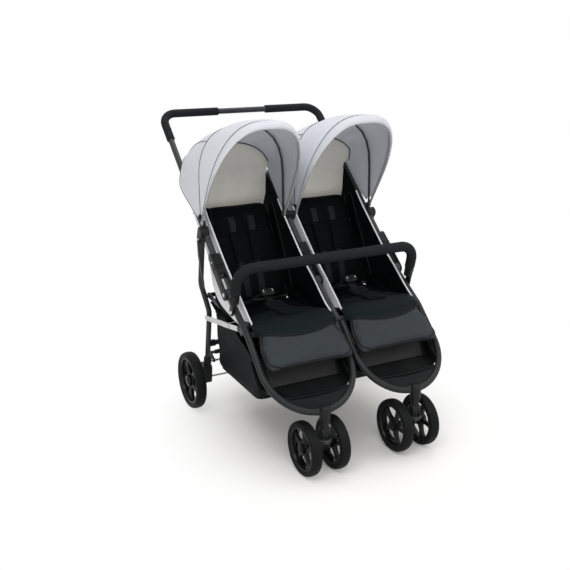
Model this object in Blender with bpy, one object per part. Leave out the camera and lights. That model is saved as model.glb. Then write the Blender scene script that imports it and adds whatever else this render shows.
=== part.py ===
"""Side-by-side double stroller: folding tube frame, two seats, two canopies, twin-wheel casters.

Metres, +Z up. The child looks towards -Y, +X is the child's left.
The origin is on the floor, under the middle of the stroller.
Side-view places are pairs (y, z). Left parts lie at -X, right parts at +X.
"""
import math

import bpy
from mathutils import Matrix, Vector

for old in list(bpy.data.objects):
    bpy.data.objects.remove(old, do_unlink=True)

# Clearances
GAP = 0.0003
SLIDE = 0.0006

# Frame tubes
TUBE_R = 0.0105
LEG_R = 0.0095
SIDE_X = 0.3275
HANDLE_HALF = 0.3225
HANDLE_TOP = Vector((0.496, 1.037))
HANDLE_BEND = 0.052
TUBE_SIDES = 10

# Side-view pivots
FOLD_PIVOT = Vector((-0.095, 0.515))
LEG_PIVOT = Vector((0.105, 0.655))
CANOPY_PIVOT = Vector((0.098, 0.712))
LINK_REAR = Vector((0.152, 0.352))
LINK_FRONT = Vector((-0.190, 0.414))
LINK_X = 0.3090
LINK_THICK = 0.003
KNEE = Vector((-0.240, 0.422))
HOOP_SLOPE = math.radians(44.0)

# Front hoops
HOOP_GAP = 0.002
HOOP_R = (SIDE_X - TUBE_R - HOOP_GAP) / 2
HOOP_X = SIDE_X - HOOP_R
HOOP_STRAIGHT = 0.135

# Handle grips
GRIP_R = 0.0147
GRIP_REACH = 0.099
GRIP_SIDE = 0.075

# Upper centre tube
CROSS_ALONG = 0.478

# Fold joints
HUB_R = 0.0195
HUB_HALF = 0.0105
CHEEK = 0.0055
HOUSING_LENGTH = 0.145
SLOT_LENGTH = 0.066
PIN_R = 0.004

# Rear legs and axle
LEG_TOP_X = 0.333
LEG_FOOT_X = 0.297
LEG_JOG_HIGH = 0.490
LEG_JOG_LOW = 0.375
LEG_FOOT_Z = 0.158
FOOT_GAP = 0.002
AXLE = Vector((0.192, 0.1047))
AXLE_R = 0.004
AXLE_CAP_R = 0.010
REAR_CROSS_Z = 0.245
BRACKET_X = (0.284, 0.331)

# Wheels
REAR_R = 0.1047
REAR_WIDTH = 0.0385
REAR_X = 0.356
FRONT_R = 0.0885
FRONT_WIDTH = 0.035
CASTER_Y = -0.4565
CASTER_TRAIL = 0.0352
TWIN_HALF = 0.051
CASTER_AXLE_R = 0.005
WHEEL_STEPS = 24
RIM_DEPTH = 0.008
SPOKES = 5
SPOKE_WIDE = 0.0105
SPOKE_NARROW = 0.0075
SPOKE_DEPTH = 0.45

# Brake
BRAKE_PIVOT = Vector((0.226, 0.150))
BRAKE_TREAD = Vector((0.262, 0.167))
BRAKE_R = 0.005
BRAKE_REACH = 0.3357
TREAD_HALF = 0.262

# Basket
BASKET_FLOOR = 0.168
BASKET_SPLIT = 0.322
BASKET_TOP = 0.390
BASKET_HALF = 0.282
BASKET_WALL = 0.003
STRAP_X = 0.200

# Seats
SEAT_X = 0.165
SEAT_HALF = 0.143
SEAT_REAR = Vector((0.022, 0.4124))
SEAT_FRONT = Vector((-0.2455, 0.4389))
SEAT_THICK = 0.030
BACK_FOOT = Vector((0.046, 0.428))
BACK_HEAD = Vector((0.205, 0.745))
BACK_THICK = 0.032
BACK_ROD_R = 0.005
SEAT_TUBE_Z = 0.440
SEAT_ARM_X = 0.3030
LEG_REST_TOP = Vector((-0.2491, 0.4331))
LEG_REST_FOOT = Vector((-0.372, 0.343))
LEG_REST_THICK = 0.032

# Bumper bar
BUMPER_PIVOT = Vector((-0.152, 0.4735))
BUMPER_TOP = Vector((-0.188, 0.622))
BUMPER_X = 0.336
BUMPER_FOAM_R = 0.0175
BUMPER_TUBE_R = 0.009
BUMPER_BEND = 0.055
SOCKET_START = 0.031
SOCKET_END = 0.066
SOCKET_DEPTH = 0.024

# Canopies
CANOPY_OVERHANG = 0.008
CANOPY_INNER = 0.0235
BOW_HALF = (SIDE_X + CANOPY_OVERHANG - CANOPY_INNER) / 2
CANOPY_X = CANOPY_INNER + BOW_HALF
BOW_WIDE = 0.010
BOW_THICK = 0.003
BOW_START = 0.006
STUD_R = 0.0027
FRONT_FLAT = 0.25
MID_FLAT = 0.45
REAR_FLAT = 0.70
REAR_HEM_ANGLE = math.radians(46.5)
FLAP_DROP = math.radians(21.0)
FRONT_BOW_ANGLE = math.radians(120.5)
MID_BOW_ANGLE = math.radians(88.5)
FRONT_BOW_REACH = 0.398
MID_BOW_REACH = 0.312
CLOTH = 0.0022
CLOTH_OFF = 0.0020


def material(name, colour, roughness, metallic=0.0):
    """A plain Principled material with the photographed colour."""
    made = bpy.data.materials.new(name)
    made.use_nodes = True
    shader = made.node_tree.nodes["Principled BSDF"]
    shader.inputs["Base Color"].default_value = (*colour, 1.0)
    shader.inputs["Roughness"].default_value = roughness
    shader.inputs["Metallic"].default_value = metallic
    return made


FRAME_PAINT = material("frame_paint", (0.05, 0.052, 0.055), 0.35, 0.6)
BLACK_PLASTIC = material("black_plastic", (0.015, 0.015, 0.017), 0.45)
BARE_STEEL = material("bare_steel", (0.55, 0.55, 0.56), 0.3, 1.0)
GRIP_FOAM = material("grip_foam", (0.035, 0.037, 0.04), 0.85)
TYRE_RUBBER = material("tyre_rubber", (0.012, 0.012, 0.013), 0.6)
SEAT_CLOTH = material("seat_cloth", (0.014, 0.016, 0.019), 0.7)
CANOPY_CLOTH = material("canopy_cloth", (0.5, 0.51, 0.55), 0.85)
BASKET_CLOTH = material("basket_cloth", (0.012, 0.012, 0.014), 0.8)
WEBBING = material("webbing", (0.013, 0.013, 0.014), 0.65)


def at(x, place):
    """A side-view place (y, z) in the plane at x."""
    return Vector((x, place[0], place[1]))


def round_bore(radius, clearance, sides=TUBE_SIDES):
    """The corner radius of a bore whose flats clear a round bar."""
    return (radius + clearance) / math.cos(math.pi / sides)


def toward(start, end, distance):
    """The point a distance from start on the way to end."""
    return start + (end - start).normalized() * distance


def node(name, verts, faces, finish, pivot):
    """A named piece with its origin on its joint's axis."""
    mesh = bpy.data.meshes.new(name)
    mesh.from_pydata([Vector(v) - pivot for v in verts], [], faces)
    mesh.validate()
    piece = bpy.data.objects.new(name, mesh)
    piece.location = pivot
    bpy.context.scene.collection.objects.link(piece)
    mesh.materials.append(finish)
    mesh.shade_smooth()
    mesh.set_sharp_from_angle(angle=math.radians(35))
    return piece


def combine(piece, tool, operation):
    """Cut or join a piece with a hidden tool body."""
    tool.hide_render = True
    tool.display_type = 'WIRE'
    change = piece.modifiers.new(operation.lower(), 'BOOLEAN')
    change.operation = operation
    change.solver = 'EXACT'
    change.object = tool
    return piece


def cut(piece, tool):
    return combine(piece, tool, 'DIFFERENCE')


def fuse(piece, tool):
    return combine(piece, tool, 'UNION')


def frames_along(path):
    """Two directions across a path at each point, carried along without twist."""
    tangents = []
    for index in range(len(path)):
        before = path[max(index - 1, 0)]
        after = path[min(index + 1, len(path) - 1)]
        tangents.append((after - before).normalized())
    seed = Vector((1, 0, 0)) if abs(tangents[0].x) < 0.8 else Vector((0, 0, 1))
    across = (seed - tangents[0] * seed.dot(tangents[0])).normalized()
    result = []
    for tangent in tangents:
        across = (across - tangent * across.dot(tangent)).normalized()
        result.append((across, tangent.cross(across)))
    return result


def ring_points(centre, across, up, radius, sides):
    turn = 2 * math.pi / sides
    return [centre + across * (radius * math.cos(turn * k)) + up * (radius * math.sin(turn * k))
            for k in range(sides)]


def tube(name, path, radius, finish, pivot, sides=TUBE_SIDES):
    """A solid round bar along a path."""
    verts = []
    faces = []
    for centre, (across, up) in zip(path, frames_along(path)):
        verts += ring_points(centre, across, up, radius, sides)
    for row in range(len(path) - 1):
        for k in range(sides):
            a = row * sides + k
            b = row * sides + (k + 1) % sides
            faces.append((a, b, b + sides, a + sides))
    faces.append(tuple(reversed(range(sides))))
    last = (len(path) - 1) * sides
    faces.append(tuple(range(last, last + sides)))
    return node(name, verts, faces, finish, pivot)


def sleeve(name, path, outer, inner, finish, pivot, sides=TUBE_SIDES):
    """A hollow round sleeve along a path, open at both ends."""
    verts = []
    faces = []
    count = len(path)
    for radius in (outer, inner):
        for centre, (across, up) in zip(path, frames_along(path)):
            verts += ring_points(centre, across, up, radius, sides)
    inside = count * sides
    for row in range(count - 1):
        for k in range(sides):
            a = row * sides + k
            b = row * sides + (k + 1) % sides
            faces.append((a, b, b + sides, a + sides))
            faces.append((inside + b, inside + a, inside + a + sides, inside + b + sides))
    last = (count - 1) * sides
    for k in range(sides):
        m = (k + 1) % sides
        faces.append((m, k, inside + k, inside + m))
        faces.append((last + k, last + m, inside + last + m, inside + last + k))
    return node(name, verts, faces, finish, pivot)


def rounded(corners, radius, steps=5):
    """A path through corners, each inner corner replaced by an arc."""
    path = [corners[0]]
    for before, corner, after in zip(corners, corners[1:], corners[2:]):
        back = (before - corner).normalized()
        ahead = (after - corner).normalized()
        half = back.angle(ahead) / 2
        reach = radius / math.tan(half)
        start = corner + back * reach
        end = corner + ahead * reach
        middle = corner + (back + ahead).normalized() * (radius / math.sin(half))
        swing = math.pi - 2 * half
        a = start - middle
        b = end - middle
        for step in range(steps + 1):
            t = step / steps
            path.append(middle + (a * math.sin((1 - t) * swing) + b * math.sin(t * swing)) / math.sin(swing))
    path.append(corners[-1])
    return path


def plate(name, outline, x_low, x_high, finish, pivot):
    """A side-view outline of (y, z) places made solid from x_low to x_high."""
    count = len(outline)
    verts = [at(x, place) for x in (x_low, x_high) for place in outline]
    faces = [tuple(reversed(range(count))), tuple(range(count, 2 * count))]
    for k in range(count):
        m = (k + 1) % count
        faces.append((k, m, count + m, count + k))
    area = sum(a[0] * b[1] - b[0] * a[1] for a, b in zip(outline, outline[1:] + outline[:1]))
    if area < 0:
        faces = [tuple(reversed(face)) for face in faces]
    return node(name, verts, faces, finish, pivot)


def link_outline(start, start_r, end, end_r, steps=7):
    """The outline of a strap with round ends between two side-view places."""
    line = end - start
    heading = math.atan2(line.y, line.x)
    lean = math.asin(max(-1.0, min(1.0, (start_r - end_r) / line.length)))
    outline = []
    for k in range(steps + 1):
        angle = heading + math.pi / 2 - lean + (math.pi + 2 * lean) * k / steps
        outline.append(start + Vector((math.cos(angle), math.sin(angle))) * start_r)
    for k in range(steps + 1):
        angle = heading - math.pi / 2 + lean + (math.pi - 2 * lean) * k / steps
        outline.append(end + Vector((math.cos(angle), math.sin(angle))) * end_r)
    return outline


def thick_line(points, thickness):
    """The outline of a bent sheet seen from the side."""
    left = []
    right = []
    for index, point in enumerate(points):
        before = points[max(index - 1, 0)]
        after = points[min(index + 1, len(points) - 1)]
        line = (after - before).normalized()
        across = Vector((-line.y, line.x)) * (thickness / 2)
        left.append(point + across)
        right.append(point - across)
    return left + list(reversed(right))


def cross_bar(name, place, x_low, x_high, radius, finish, pivot, sides=TUBE_SIDES):
    """A round bar along X through a side-view place."""
    return tube(name, [at(x_low, place), at(x_high, place)], radius, finish, pivot, sides)


def turned_ring(name, profile, centre, finish, steps):
    """A closed (radius, x) profile turned round an axis along X, flat side down."""
    verts = []
    faces = []
    count = len(profile)
    turn = 2 * math.pi / steps
    for step in range(steps):
        angle = -math.pi / 2 + turn * (step + 0.5)
        for radius, x in profile:
            to_flat = radius / math.cos(turn / 2)
            verts.append(centre + Vector((x, to_flat * math.cos(angle), to_flat * math.sin(angle))))
    for step in range(steps):
        after = (step + 1) % steps
        for k in range(count):
            m = (k + 1) % count
            faces.append((step * count + k, step * count + m, after * count + m, after * count + k))
    area = sum(a[0] * b[1] - b[0] * a[1] for a, b in zip(profile, profile[1:] + profile[:1]))
    if area > 0:
        faces = [tuple(reversed(face)) for face in faces]
    return node(name, verts, faces, finish, centre)


def wheel(name, centre, radius, width, hub_r, bore_r, rubber):
    """A rubber tyre on a five-spoke moulded rim; returns both."""
    half = width / 2
    bed = radius - rubber
    tyre_profile = [(bed, -half * 0.78), (bed + rubber * 0.5, -half), (radius, -half * 0.55),
                    (radius, half * 0.55), (bed + rubber * 0.5, half), (bed, half * 0.78)]
    tyre = turned_ring(name + "_tyre", tyre_profile, centre, TYRE_RUBBER, WHEEL_STEPS)
    rim_outer = bed - GAP
    rim_inner = rim_outer - RIM_DEPTH
    rim_half = half * 0.78
    rim_profile = [(rim_inner, -rim_half), (rim_outer, -rim_half), (rim_outer, rim_half),
                   (rim_inner, rim_half)]
    rim = turned_ring(name + "_rim", rim_profile, centre, BLACK_PLASTIC, WHEEL_STEPS)
    hub_half = half * 0.95
    hub_profile = [(bore_r, -hub_half), (hub_r, -hub_half), (hub_r, hub_half), (bore_r, hub_half)]
    hub = turned_ring(name + "_hub_tool", hub_profile, centre, BLACK_PLASTIC, 12)
    fuse(rim, hub)
    for spoke in range(SPOKES):
        angle = 2 * math.pi * spoke / SPOKES + math.pi / 2
        outward = Vector((math.cos(angle), math.sin(angle)))
        side = Vector((-outward.y, outward.x))
        near = hub_r * 0.75
        far = rim_inner + RIM_DEPTH * 0.5
        outline = [outward * near + side * SPOKE_WIDE, outward * near - side * SPOKE_WIDE,
                   outward * far - side * SPOKE_NARROW, outward * far + side * SPOKE_NARROW]
        middle = Vector((centre.y, centre.z))
        outline = [middle + corner for corner in outline]
        thick = half * SPOKE_DEPTH
        arm = plate(name + "_spoke_tool", outline, centre.x - thick, centre.x + thick, BLACK_PLASTIC, centre)
        fuse(rim, arm)
    return tyre, rim


def cushion(name, centre_x, start, end, half_width, thick, crown, channels, finish, pivot, narrow=1.0):
    """A crowned pad from start to end, its sides drawn in between the corners."""
    columns = 10
    rows = 12
    along = end - start
    length = along.length
    along = along.normalized()
    normal = Vector((-along.y, along.x))
    if normal.y < 0 and abs(normal.y) > abs(normal.x):
        normal = -normal
    if normal.x > 0 and abs(normal.x) >= abs(normal.y):
        normal = -normal
    middle = (start + end) / 2

    def surface(u, v, side):
        draw = 1 - 0.03 * (1 - v * v)
        corner = 1 - 0.10 * v ** 6
        taper = 1 - (1 - narrow) * (v + 1) / 2
        x = centre_x + half_width * u * draw * corner * taper
        reach = length / 2 * v * (1 - 0.03 * (1 - u * u)) * (1 - 0.06 * u ** 6)
        swell = (1 - u ** 4) * (1 - v ** 4)
        height = side * (thick / 2) * min(1.0, swell * 2.2)
        if side > 0:
            height += crown * (1 - u * u) * (1 - v * v)
            for channel in channels:
                height -= crown * 0.55 * math.exp(-((v - channel) / 0.06) ** 2) * (1 - u ** 4)
        place = middle + along * reach + normal * height
        return at(x, place)

    verts = []
    faces = []
    top = {}
    bottom = {}
    for i in range(columns + 1):
        for j in range(rows + 1):
            u = 2 * i / columns - 1
            v = 2 * j / rows - 1
            top[i, j] = len(verts)
            if i in (0, columns) or j in (0, rows):
                verts.append(surface(u, v, 0))
                bottom[i, j] = top[i, j]
            else:
                verts.append(surface(u, v, 1))
                bottom[i, j] = len(verts)
                verts.append(surface(u, v, -1))
    for i in range(columns):
        for j in range(rows):
            faces.append((top[i, j], top[i + 1, j], top[i + 1, j + 1], top[i, j + 1]))
            faces.append((bottom[i, j], bottom[i, j + 1], bottom[i + 1, j + 1], bottom[i + 1, j]))
    flip = Vector((1, 0, 0)).cross(at(0, along)).dot(at(0, normal)) < 0
    if flip:
        faces = [tuple(reversed(face)) for face in faces]
    return node(name, verts, faces, finish, pivot)


FLOOR = Vector((0, 0, 0))
SIDES = (("left", -1), ("right", 1))
UPPER_DIRECTION = (HANDLE_TOP - FOLD_PIVOT).normalized()
FRONT_DIRECTION = (KNEE - FOLD_PIVOT).normalized()
HOOP_DIRECTION = Vector((-math.cos(HOOP_SLOPE), -math.sin(HOOP_SLOPE)))
FOLD_AXIS = at(0, FOLD_PIVOT)
LEG_AXIS = at(0, LEG_PIVOT)


def on_upper(distance):
    """A side-view place on the handle frame, measured from the fold pivot."""
    return FOLD_PIVOT + UPPER_DIRECTION * distance


def side_at(distance):
    """How far out the handle frame's side tube lies, a distance up from the fold pivot."""
    return SIDE_X + (HANDLE_HALF - SIDE_X) * distance / (HANDLE_TOP - FOLD_PIVOT).length


def handle_path():
    """The handle frame's centre line, from the left joint round to the right joint."""
    corner = HANDLE_TOP
    start = on_upper(SLOT_LENGTH + GAP)
    foot = side_at(SLOT_LENGTH + GAP)
    corners = [at(-foot, start), at(-HANDLE_HALF, corner), at(HANDLE_HALF, corner), at(foot, start)]
    return rounded(corners, HANDLE_BEND, 6)


def build_handle():
    path = handle_path()
    tube("handle_tube", path, TUBE_R, FRAME_PAINT, LEG_AXIS)
    for side, sign in SIDES:
        bend = path[1:8] if sign < 0 else list(reversed(path[8:15]))
        low = bend[0] + (at(sign * SIDE_X, FOLD_PIVOT) - bend[0]).normalized() * GRIP_SIDE
        end = Vector((sign * GRIP_REACH, bend[-1].y, bend[-1].z))
        line = [low] + bend + [end]
        sleeve("handle_grip_" + side, line, GRIP_R, round_bore(TUBE_R, GAP), GRIP_FOAM, LEG_AXIS)


def build_upper_centre():
    """The welded T behind the seat backs: a cross tube and the centre tube."""
    place = on_upper(CROSS_ALONG)
    reach = side_at(CROSS_ALONG) - TUBE_R - SLIDE
    piece = cross_bar("upper_cross_tube", place, -reach, reach, TUBE_R, FRAME_PAINT, LEG_AXIS)
    start = on_upper(SLOT_LENGTH + GAP)
    stem = tube("upper_centre_tool", [at(0, start), at(0, place)], TUBE_R, FRAME_PAINT, LEG_AXIS)
    fuse(piece, stem)
    foot = FOLD_PIVOT + UPPER_DIRECTION * (CANOPY_PIVOT - FOLD_PIVOT).dot(UPPER_DIRECTION)
    bow_x = CANOPY_X - BOW_HALF
    clip_half = bow_x - BOW_THICK / 2 - SLIDE * 2
    clip = plate("centre_clip_tool", link_outline(foot, 0.0135, CANOPY_PIVOT, 0.009), -clip_half, clip_half,
                 FRAME_PAINT, LEG_AXIS)
    fuse(piece, clip)
    stud_x = bow_x + BOW_THICK * 2 + SLIDE
    stud = cross_bar("centre_stud_tool", CANOPY_PIVOT, -stud_x, stud_x, STUD_R, FRAME_PAINT, LEG_AXIS, 8)
    fuse(piece, stud)


def housing(name, x, finish):
    """A moulded fold joint: a sleeve on the upper tube with two cheeks beside the hub."""
    half = HUB_HALF + SLIDE + CHEEK
    far = on_upper(HOUSING_LENGTH)
    outline = link_outline(FOLD_PIVOT, HUB_R, far, 0.0155)
    piece = plate(name, outline, x - half, x + half, finish, LEG_AXIS)
    inner = HUB_HALF + SLIDE
    slot_start = on_upper(-0.05)
    slot_end = on_upper(SLOT_LENGTH)
    across = Vector((-UPPER_DIRECTION.y, UPPER_DIRECTION.x)) * 0.04
    mouth = [slot_start + across, slot_start - across, slot_end - across, slot_end + across]
    slot = plate(name + "_slot_tool", mouth, x - inner, x + inner, finish, LEG_AXIS)
    cut(piece, slot)
    lean = 0 if x == 0 else math.copysign(1, x)
    low = at(lean * side_at(0.02), on_upper(0.02))
    high = at(lean * side_at(0.3), on_upper(0.3))
    bore = tube(name + "_bore_tool", [low, high],
                round_bore(TUBE_R, GAP), finish, LEG_AXIS)
    cut(piece, bore)
    pin = cross_bar(name + "_pin_tool", FOLD_PIVOT, x - half + 0.001, x + half - 0.001, PIN_R, finish,
                    LEG_AXIS)
    fuse(piece, pin)
    return piece


def build_housings():
    for side, sign in SIDES:
        housing("fold_joint_" + side, sign * SIDE_X, BLACK_PLASTIC)
    housing("fold_joint_centre", 0, BLACK_PLASTIC)


def hub_with_bore(piece, x):
    """Join a hub to a lower tube's end and bore it for the fold pin."""
    hub = cross_bar("hub_tool", FOLD_PIVOT, x - HUB_HALF, x + HUB_HALF, HUB_R - 0.001,
                    FRAME_PAINT, FOLD_AXIS, 16)
    fuse(piece, hub)
    bore = cross_bar("hub_bore_tool", FOLD_PIVOT, x - 0.03, x + 0.03, round_bore(PIN_R, SLIDE),
                     FRAME_PAINT, FOLD_AXIS)
    cut(piece, bore)


def hoop_point(x, down):
    """A point of the hoop's plane, a distance down from the knee."""
    return at(x, KNEE + HOOP_DIRECTION * down)


def hoop_path(sign):
    path = [at(sign * SIDE_X, FOLD_PIVOT)]
    knee = at(sign * SIDE_X, KNEE)
    path += rounded([path[0], knee, hoop_point(sign * SIDE_X, HOOP_STRAIGHT)], 0.12, 3)[1:-1]
    for step in range(13):
        angle = math.pi * step / 12
        x = sign * (HOOP_X + HOOP_R * math.cos(angle))
        path.append(hoop_point(x, HOOP_STRAIGHT + HOOP_R * math.sin(angle)))
    inner_x = sign * (HOOP_X - HOOP_R)
    path.append(hoop_point(inner_x, TUBE_R + GAP))
    return path


def build_hoops():
    for side, sign in SIDES:
        piece = tube("front_hoop_" + side, hoop_path(sign), TUBE_R, FRAME_PAINT, FOLD_AXIS)
        x_low, x_high = sorted((sign * (LINK_X + LINK_THICK / 2 + SLIDE), sign * SIDE_X))
        along = (LINK_FRONT - FOLD_PIVOT).dot(FRONT_DIRECTION)
        root = FOLD_PIVOT + FRONT_DIRECTION * along
        knuckle = plate("link_knuckle_tool", link_outline(root, 0.0115, LINK_FRONT, 0.0105), x_low, x_high,
                        FRAME_PAINT, FOLD_AXIS)
        fuse(piece, knuckle)
        hub_with_bore(piece, sign * SIDE_X)
    reach = SIDE_X - TUBE_R - GAP
    lower = cross_bar("front_cross_tube", KNEE, -reach, reach, TUBE_R, FRAME_PAINT, FOLD_AXIS)
    stem = tube("lower_centre_tool", [at(0, FOLD_PIVOT), at(0, KNEE)], TUBE_R, FRAME_PAINT, FOLD_AXIS)
    fuse(lower, stem)
    hub_with_bore(lower, 0)


def leg_line(z):
    """The rear leg's y at a height: one straight line from its pivot to the axle."""
    share = (LEG_PIVOT.y - z) / (LEG_PIVOT.y - AXLE.y)
    return LEG_PIVOT.x + (AXLE.x - LEG_PIVOT.x) * share


def leg_point(x, z):
    return Vector((x, leg_line(z), z))


def build_legs():
    for side, sign in SIDES:
        path = rounded([leg_point(sign * LEG_TOP_X, LEG_PIVOT.y + 0.006),
                        leg_point(sign * LEG_TOP_X, LEG_JOG_HIGH),
                        leg_point(sign * LEG_FOOT_X, LEG_JOG_LOW),
                        leg_point(sign * LEG_FOOT_X, LEG_FOOT_Z + FOOT_GAP)], 0.12, 3)
        leg = tube("rear_leg_" + side, path, LEG_R, FRAME_PAINT, FLOOR)
        pin = cross_bar("leg_pin_tool", LEG_PIVOT, sign * LEG_TOP_X - 0.019, sign * LEG_TOP_X + 0.019,
                        PIN_R, BARE_STEEL, FLOOR)
        fuse(leg, pin)
    cross_y = leg_line(REAR_CROSS_Z)
    reach = LEG_FOOT_X - LEG_R - GAP
    cross_bar("rear_cross_tube", (cross_y, REAR_CROSS_Z), -reach, reach, LEG_R, FRAME_PAINT, FLOOR)
    axle_reach = REAR_X + REAR_WIDTH / 2
    axle = cross_bar("rear_axle", AXLE, -axle_reach, axle_reach, AXLE_R, BARE_STEEL, FLOOR, 8)
    for side, sign in SIDES:
        x_low, x_high = sorted((sign * (axle_reach - 0.0005), sign * (axle_reach + 0.003)))
        cap = cross_bar("axle_cap_tool", AXLE, x_low, x_high, AXLE_CAP_R, BARE_STEEL, FLOOR, 12)
        fuse(axle, cap)


def build_leg_brackets():
    """The moulding under the handle frame that holds the leg's top and the canopy's outer pivot."""
    for side, sign in SIDES:
        x = sign * LEG_TOP_X
        half = LEG_R + SLIDE + CHEEK
        along = (LEG_PIVOT - FOLD_PIVOT).dot(UPPER_DIRECTION)
        seat = on_upper(along)
        outline = link_outline(LEG_PIVOT, 0.0135, seat + Vector((0.004, 0.008)), 0.0185)
        piece = plate("leg_bracket_" + side, outline, x - half, x + half, BLACK_PLASTIC, LEG_AXIS)
        bore = tube("bracket_bore_tool", [at(sign * side_at(along - 0.08), on_upper(along - 0.08)),
                                          at(sign * side_at(along + 0.08), on_upper(along + 0.08))],
                    round_bore(TUBE_R, GAP), BLACK_PLASTIC, LEG_AXIS)
        cut(piece, bore)
        slot_line = link_outline(LEG_PIVOT, 0.0145, LEG_PIVOT - Vector((0, 0.05)), 0.0145)
        slot = plate("bracket_slot_tool", slot_line,
                     x - LEG_R - SLIDE, x + LEG_R + SLIDE, BLACK_PLASTIC, LEG_AXIS)
        cut(piece, slot)
        hole = cross_bar("bracket_hole_tool", LEG_PIVOT, x - 0.03, x + 0.03, round_bore(PIN_R, SLIDE),
                         BLACK_PLASTIC, LEG_AXIS)
        cut(piece, hole)
        bow_x = CANOPY_X + BOW_HALF
        ear_end = bow_x - BOW_THICK * 1.5 - SLIDE * 2
        ear_low, ear_high = sorted((sign * (ear_end - 0.006), sign * ear_end))
        ear = plate("canopy_ear_tool", link_outline(seat, 0.013, CANOPY_PIVOT, 0.009), ear_low, ear_high,
                    BLACK_PLASTIC, LEG_AXIS)
        cut(ear, bore)
        fuse(piece, ear)
        stud_low, stud_high = sorted((sign * (ear_end - 0.002), sign * (bow_x + BOW_THICK)))
        stud = cross_bar("canopy_stud_tool", CANOPY_PIVOT, stud_low, stud_high, STUD_R, BLACK_PLASTIC,
                         LEG_AXIS, 8)
        fuse(piece, stud)


def build_wheel_brackets():
    for side, sign in SIDES:
        x_low, x_high = sorted((sign * BRACKET_X[0], sign * BRACKET_X[1]))
        top = Vector((leg_line(LEG_FOOT_Z), LEG_FOOT_Z))
        outline = [AXLE + Vector((-0.020, -0.016)), AXLE + Vector((0.020, -0.016)),
                   AXLE + Vector((0.021, 0.018)), top + Vector((0.017, 0)), top + Vector((-0.017, 0)),
                   AXLE + Vector((-0.024, 0.018))]
        piece = plate("wheel_bracket_" + side, outline, x_low, x_high, BLACK_PLASTIC, FLOOR)
        bore = cross_bar("bracket_axle_tool", AXLE, x_low - 0.01, x_high + 0.01, round_bore(AXLE_R, GAP),
                         BLACK_PLASTIC, FLOOR)
        cut(piece, bore)


def build_rear_wheels():
    for side, sign in SIDES:
        centre = at(sign * REAR_X, AXLE)
        wheel("rear_wheel_" + side, centre, REAR_R, REAR_WIDTH, 0.022, round_bore(AXLE_R, SLIDE, 12), 0.0205)


def build_casters():
    caster_z = (KNEE + HOOP_DIRECTION * (HOOP_STRAIGHT + HOOP_R)).y
    for side, sign in SIDES:
        x = sign * HOOP_X
        stem_axis = Vector((x, CASTER_Y, 0))
        barrel = tube("caster_housing_" + side,
                      [Vector((x, CASTER_Y, caster_z - 0.036)), Vector((x, CASTER_Y, caster_z - 0.010)),
                       Vector((x, CASTER_Y, caster_z + 0.020))],
                      0.0175, BLACK_PLASTIC, FOLD_AXIS, 14)
        groove = tube("caster_groove_tool", hoop_path(sign), round_bore(TUBE_R, GAP), FRAME_PAINT, FOLD_AXIS)
        cut(barrel, groove)
        stem_top = caster_z - 0.036 - GAP
        axle = Vector((CASTER_Y + CASTER_TRAIL, FRONT_R))
        fork = tube("caster_fork_" + side, [Vector((x, CASTER_Y, stem_top)), Vector((x, CASTER_Y, 0.150))],
                    0.0125, BLACK_PLASTIC, stem_axis, 12)
        body = plate("fork_body_tool", link_outline(Vector((CASTER_Y, 0.152)), 0.0165, axle, 0.0225),
                     x - 0.017, x + 0.017, BLACK_PLASTIC, stem_axis)
        fuse(fork, body)
        shaft_half = TWIN_HALF + FRONT_WIDTH / 2
        shaft = cross_bar("fork_axle_tool", axle, x - shaft_half, x + shaft_half, CASTER_AXLE_R,
                          BARE_STEEL, stem_axis)
        fuse(fork, shaft)
        for part, offset in (("outer", sign * TWIN_HALF), ("inner", -sign * TWIN_HALF)):
            wheel("front_wheel_" + side + "_" + part, at(x + offset, axle), FRONT_R, FRONT_WIDTH,
                  0.018, round_bore(CASTER_AXLE_R, SLIDE, 12), 0.018)


def build_brake():
    """The linked parking brake: a pivot rod with a dog at each wheel and a foot bar behind it."""
    axis = at(0, BRAKE_PIVOT)
    rod = cross_bar("brake_bar", BRAKE_PIVOT, -BRAKE_REACH, BRAKE_REACH, BRAKE_R, BARE_STEEL, axis, 8)
    tread = cross_bar("brake_tread_tool", BRAKE_TREAD, -TREAD_HALF, TREAD_HALF, 0.006, BARE_STEEL, axis, 8)
    fuse(rod, tread)
    for side, sign in SIDES:
        x_low, x_high = sorted((sign * (TREAD_HALF - 0.012), sign * (TREAD_HALF - 0.004)))
        arm = plate("brake_arm_tool", link_outline(BRAKE_PIVOT, 0.0075, BRAKE_TREAD, 0.0075),
                    x_low, x_high, BLACK_PLASTIC, axis)
        fuse(rod, arm)
        x_low, x_high = sorted((sign * (BRAKE_REACH - 0.004), sign * BRAKE_REACH))
        dog_line = link_outline(BRAKE_PIVOT, 0.008, BRAKE_PIVOT + Vector((-0.014, -0.026)), 0.005)
        dog = plate("brake_dog_tool", dog_line,
                    x_low, x_high, BLACK_PLASTIC, axis)
        fuse(rod, dog)


def build_side_links():
    """The bare steel braces between the rear legs and the front frame, each with its rivet."""
    for side, sign in SIDES:
        x = sign * LINK_X
        x_low, x_high = sorted((x - LINK_THICK / 2, x + LINK_THICK / 2))
        pivot = at(x, LINK_REAR)
        piece = plate("side_link_" + side, link_outline(LINK_REAR, 0.009, LINK_FRONT, 0.009),
                      x_low, x_high, BARE_STEEL, pivot)
        for place, head in ((LINK_FRONT, -sign * 0.0016), (LINK_REAR, sign * 0.003)):
            face = sign * LINK_THICK / 2 * (1 if head * sign > 0 else -1)
            rivet_low, rivet_high = sorted((x, x + face + head))
            rivet = cross_bar("link_rivet_tool", place, rivet_low, rivet_high, 0.0055, BARE_STEEL, pivot)
            fuse(piece, rivet)


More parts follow.
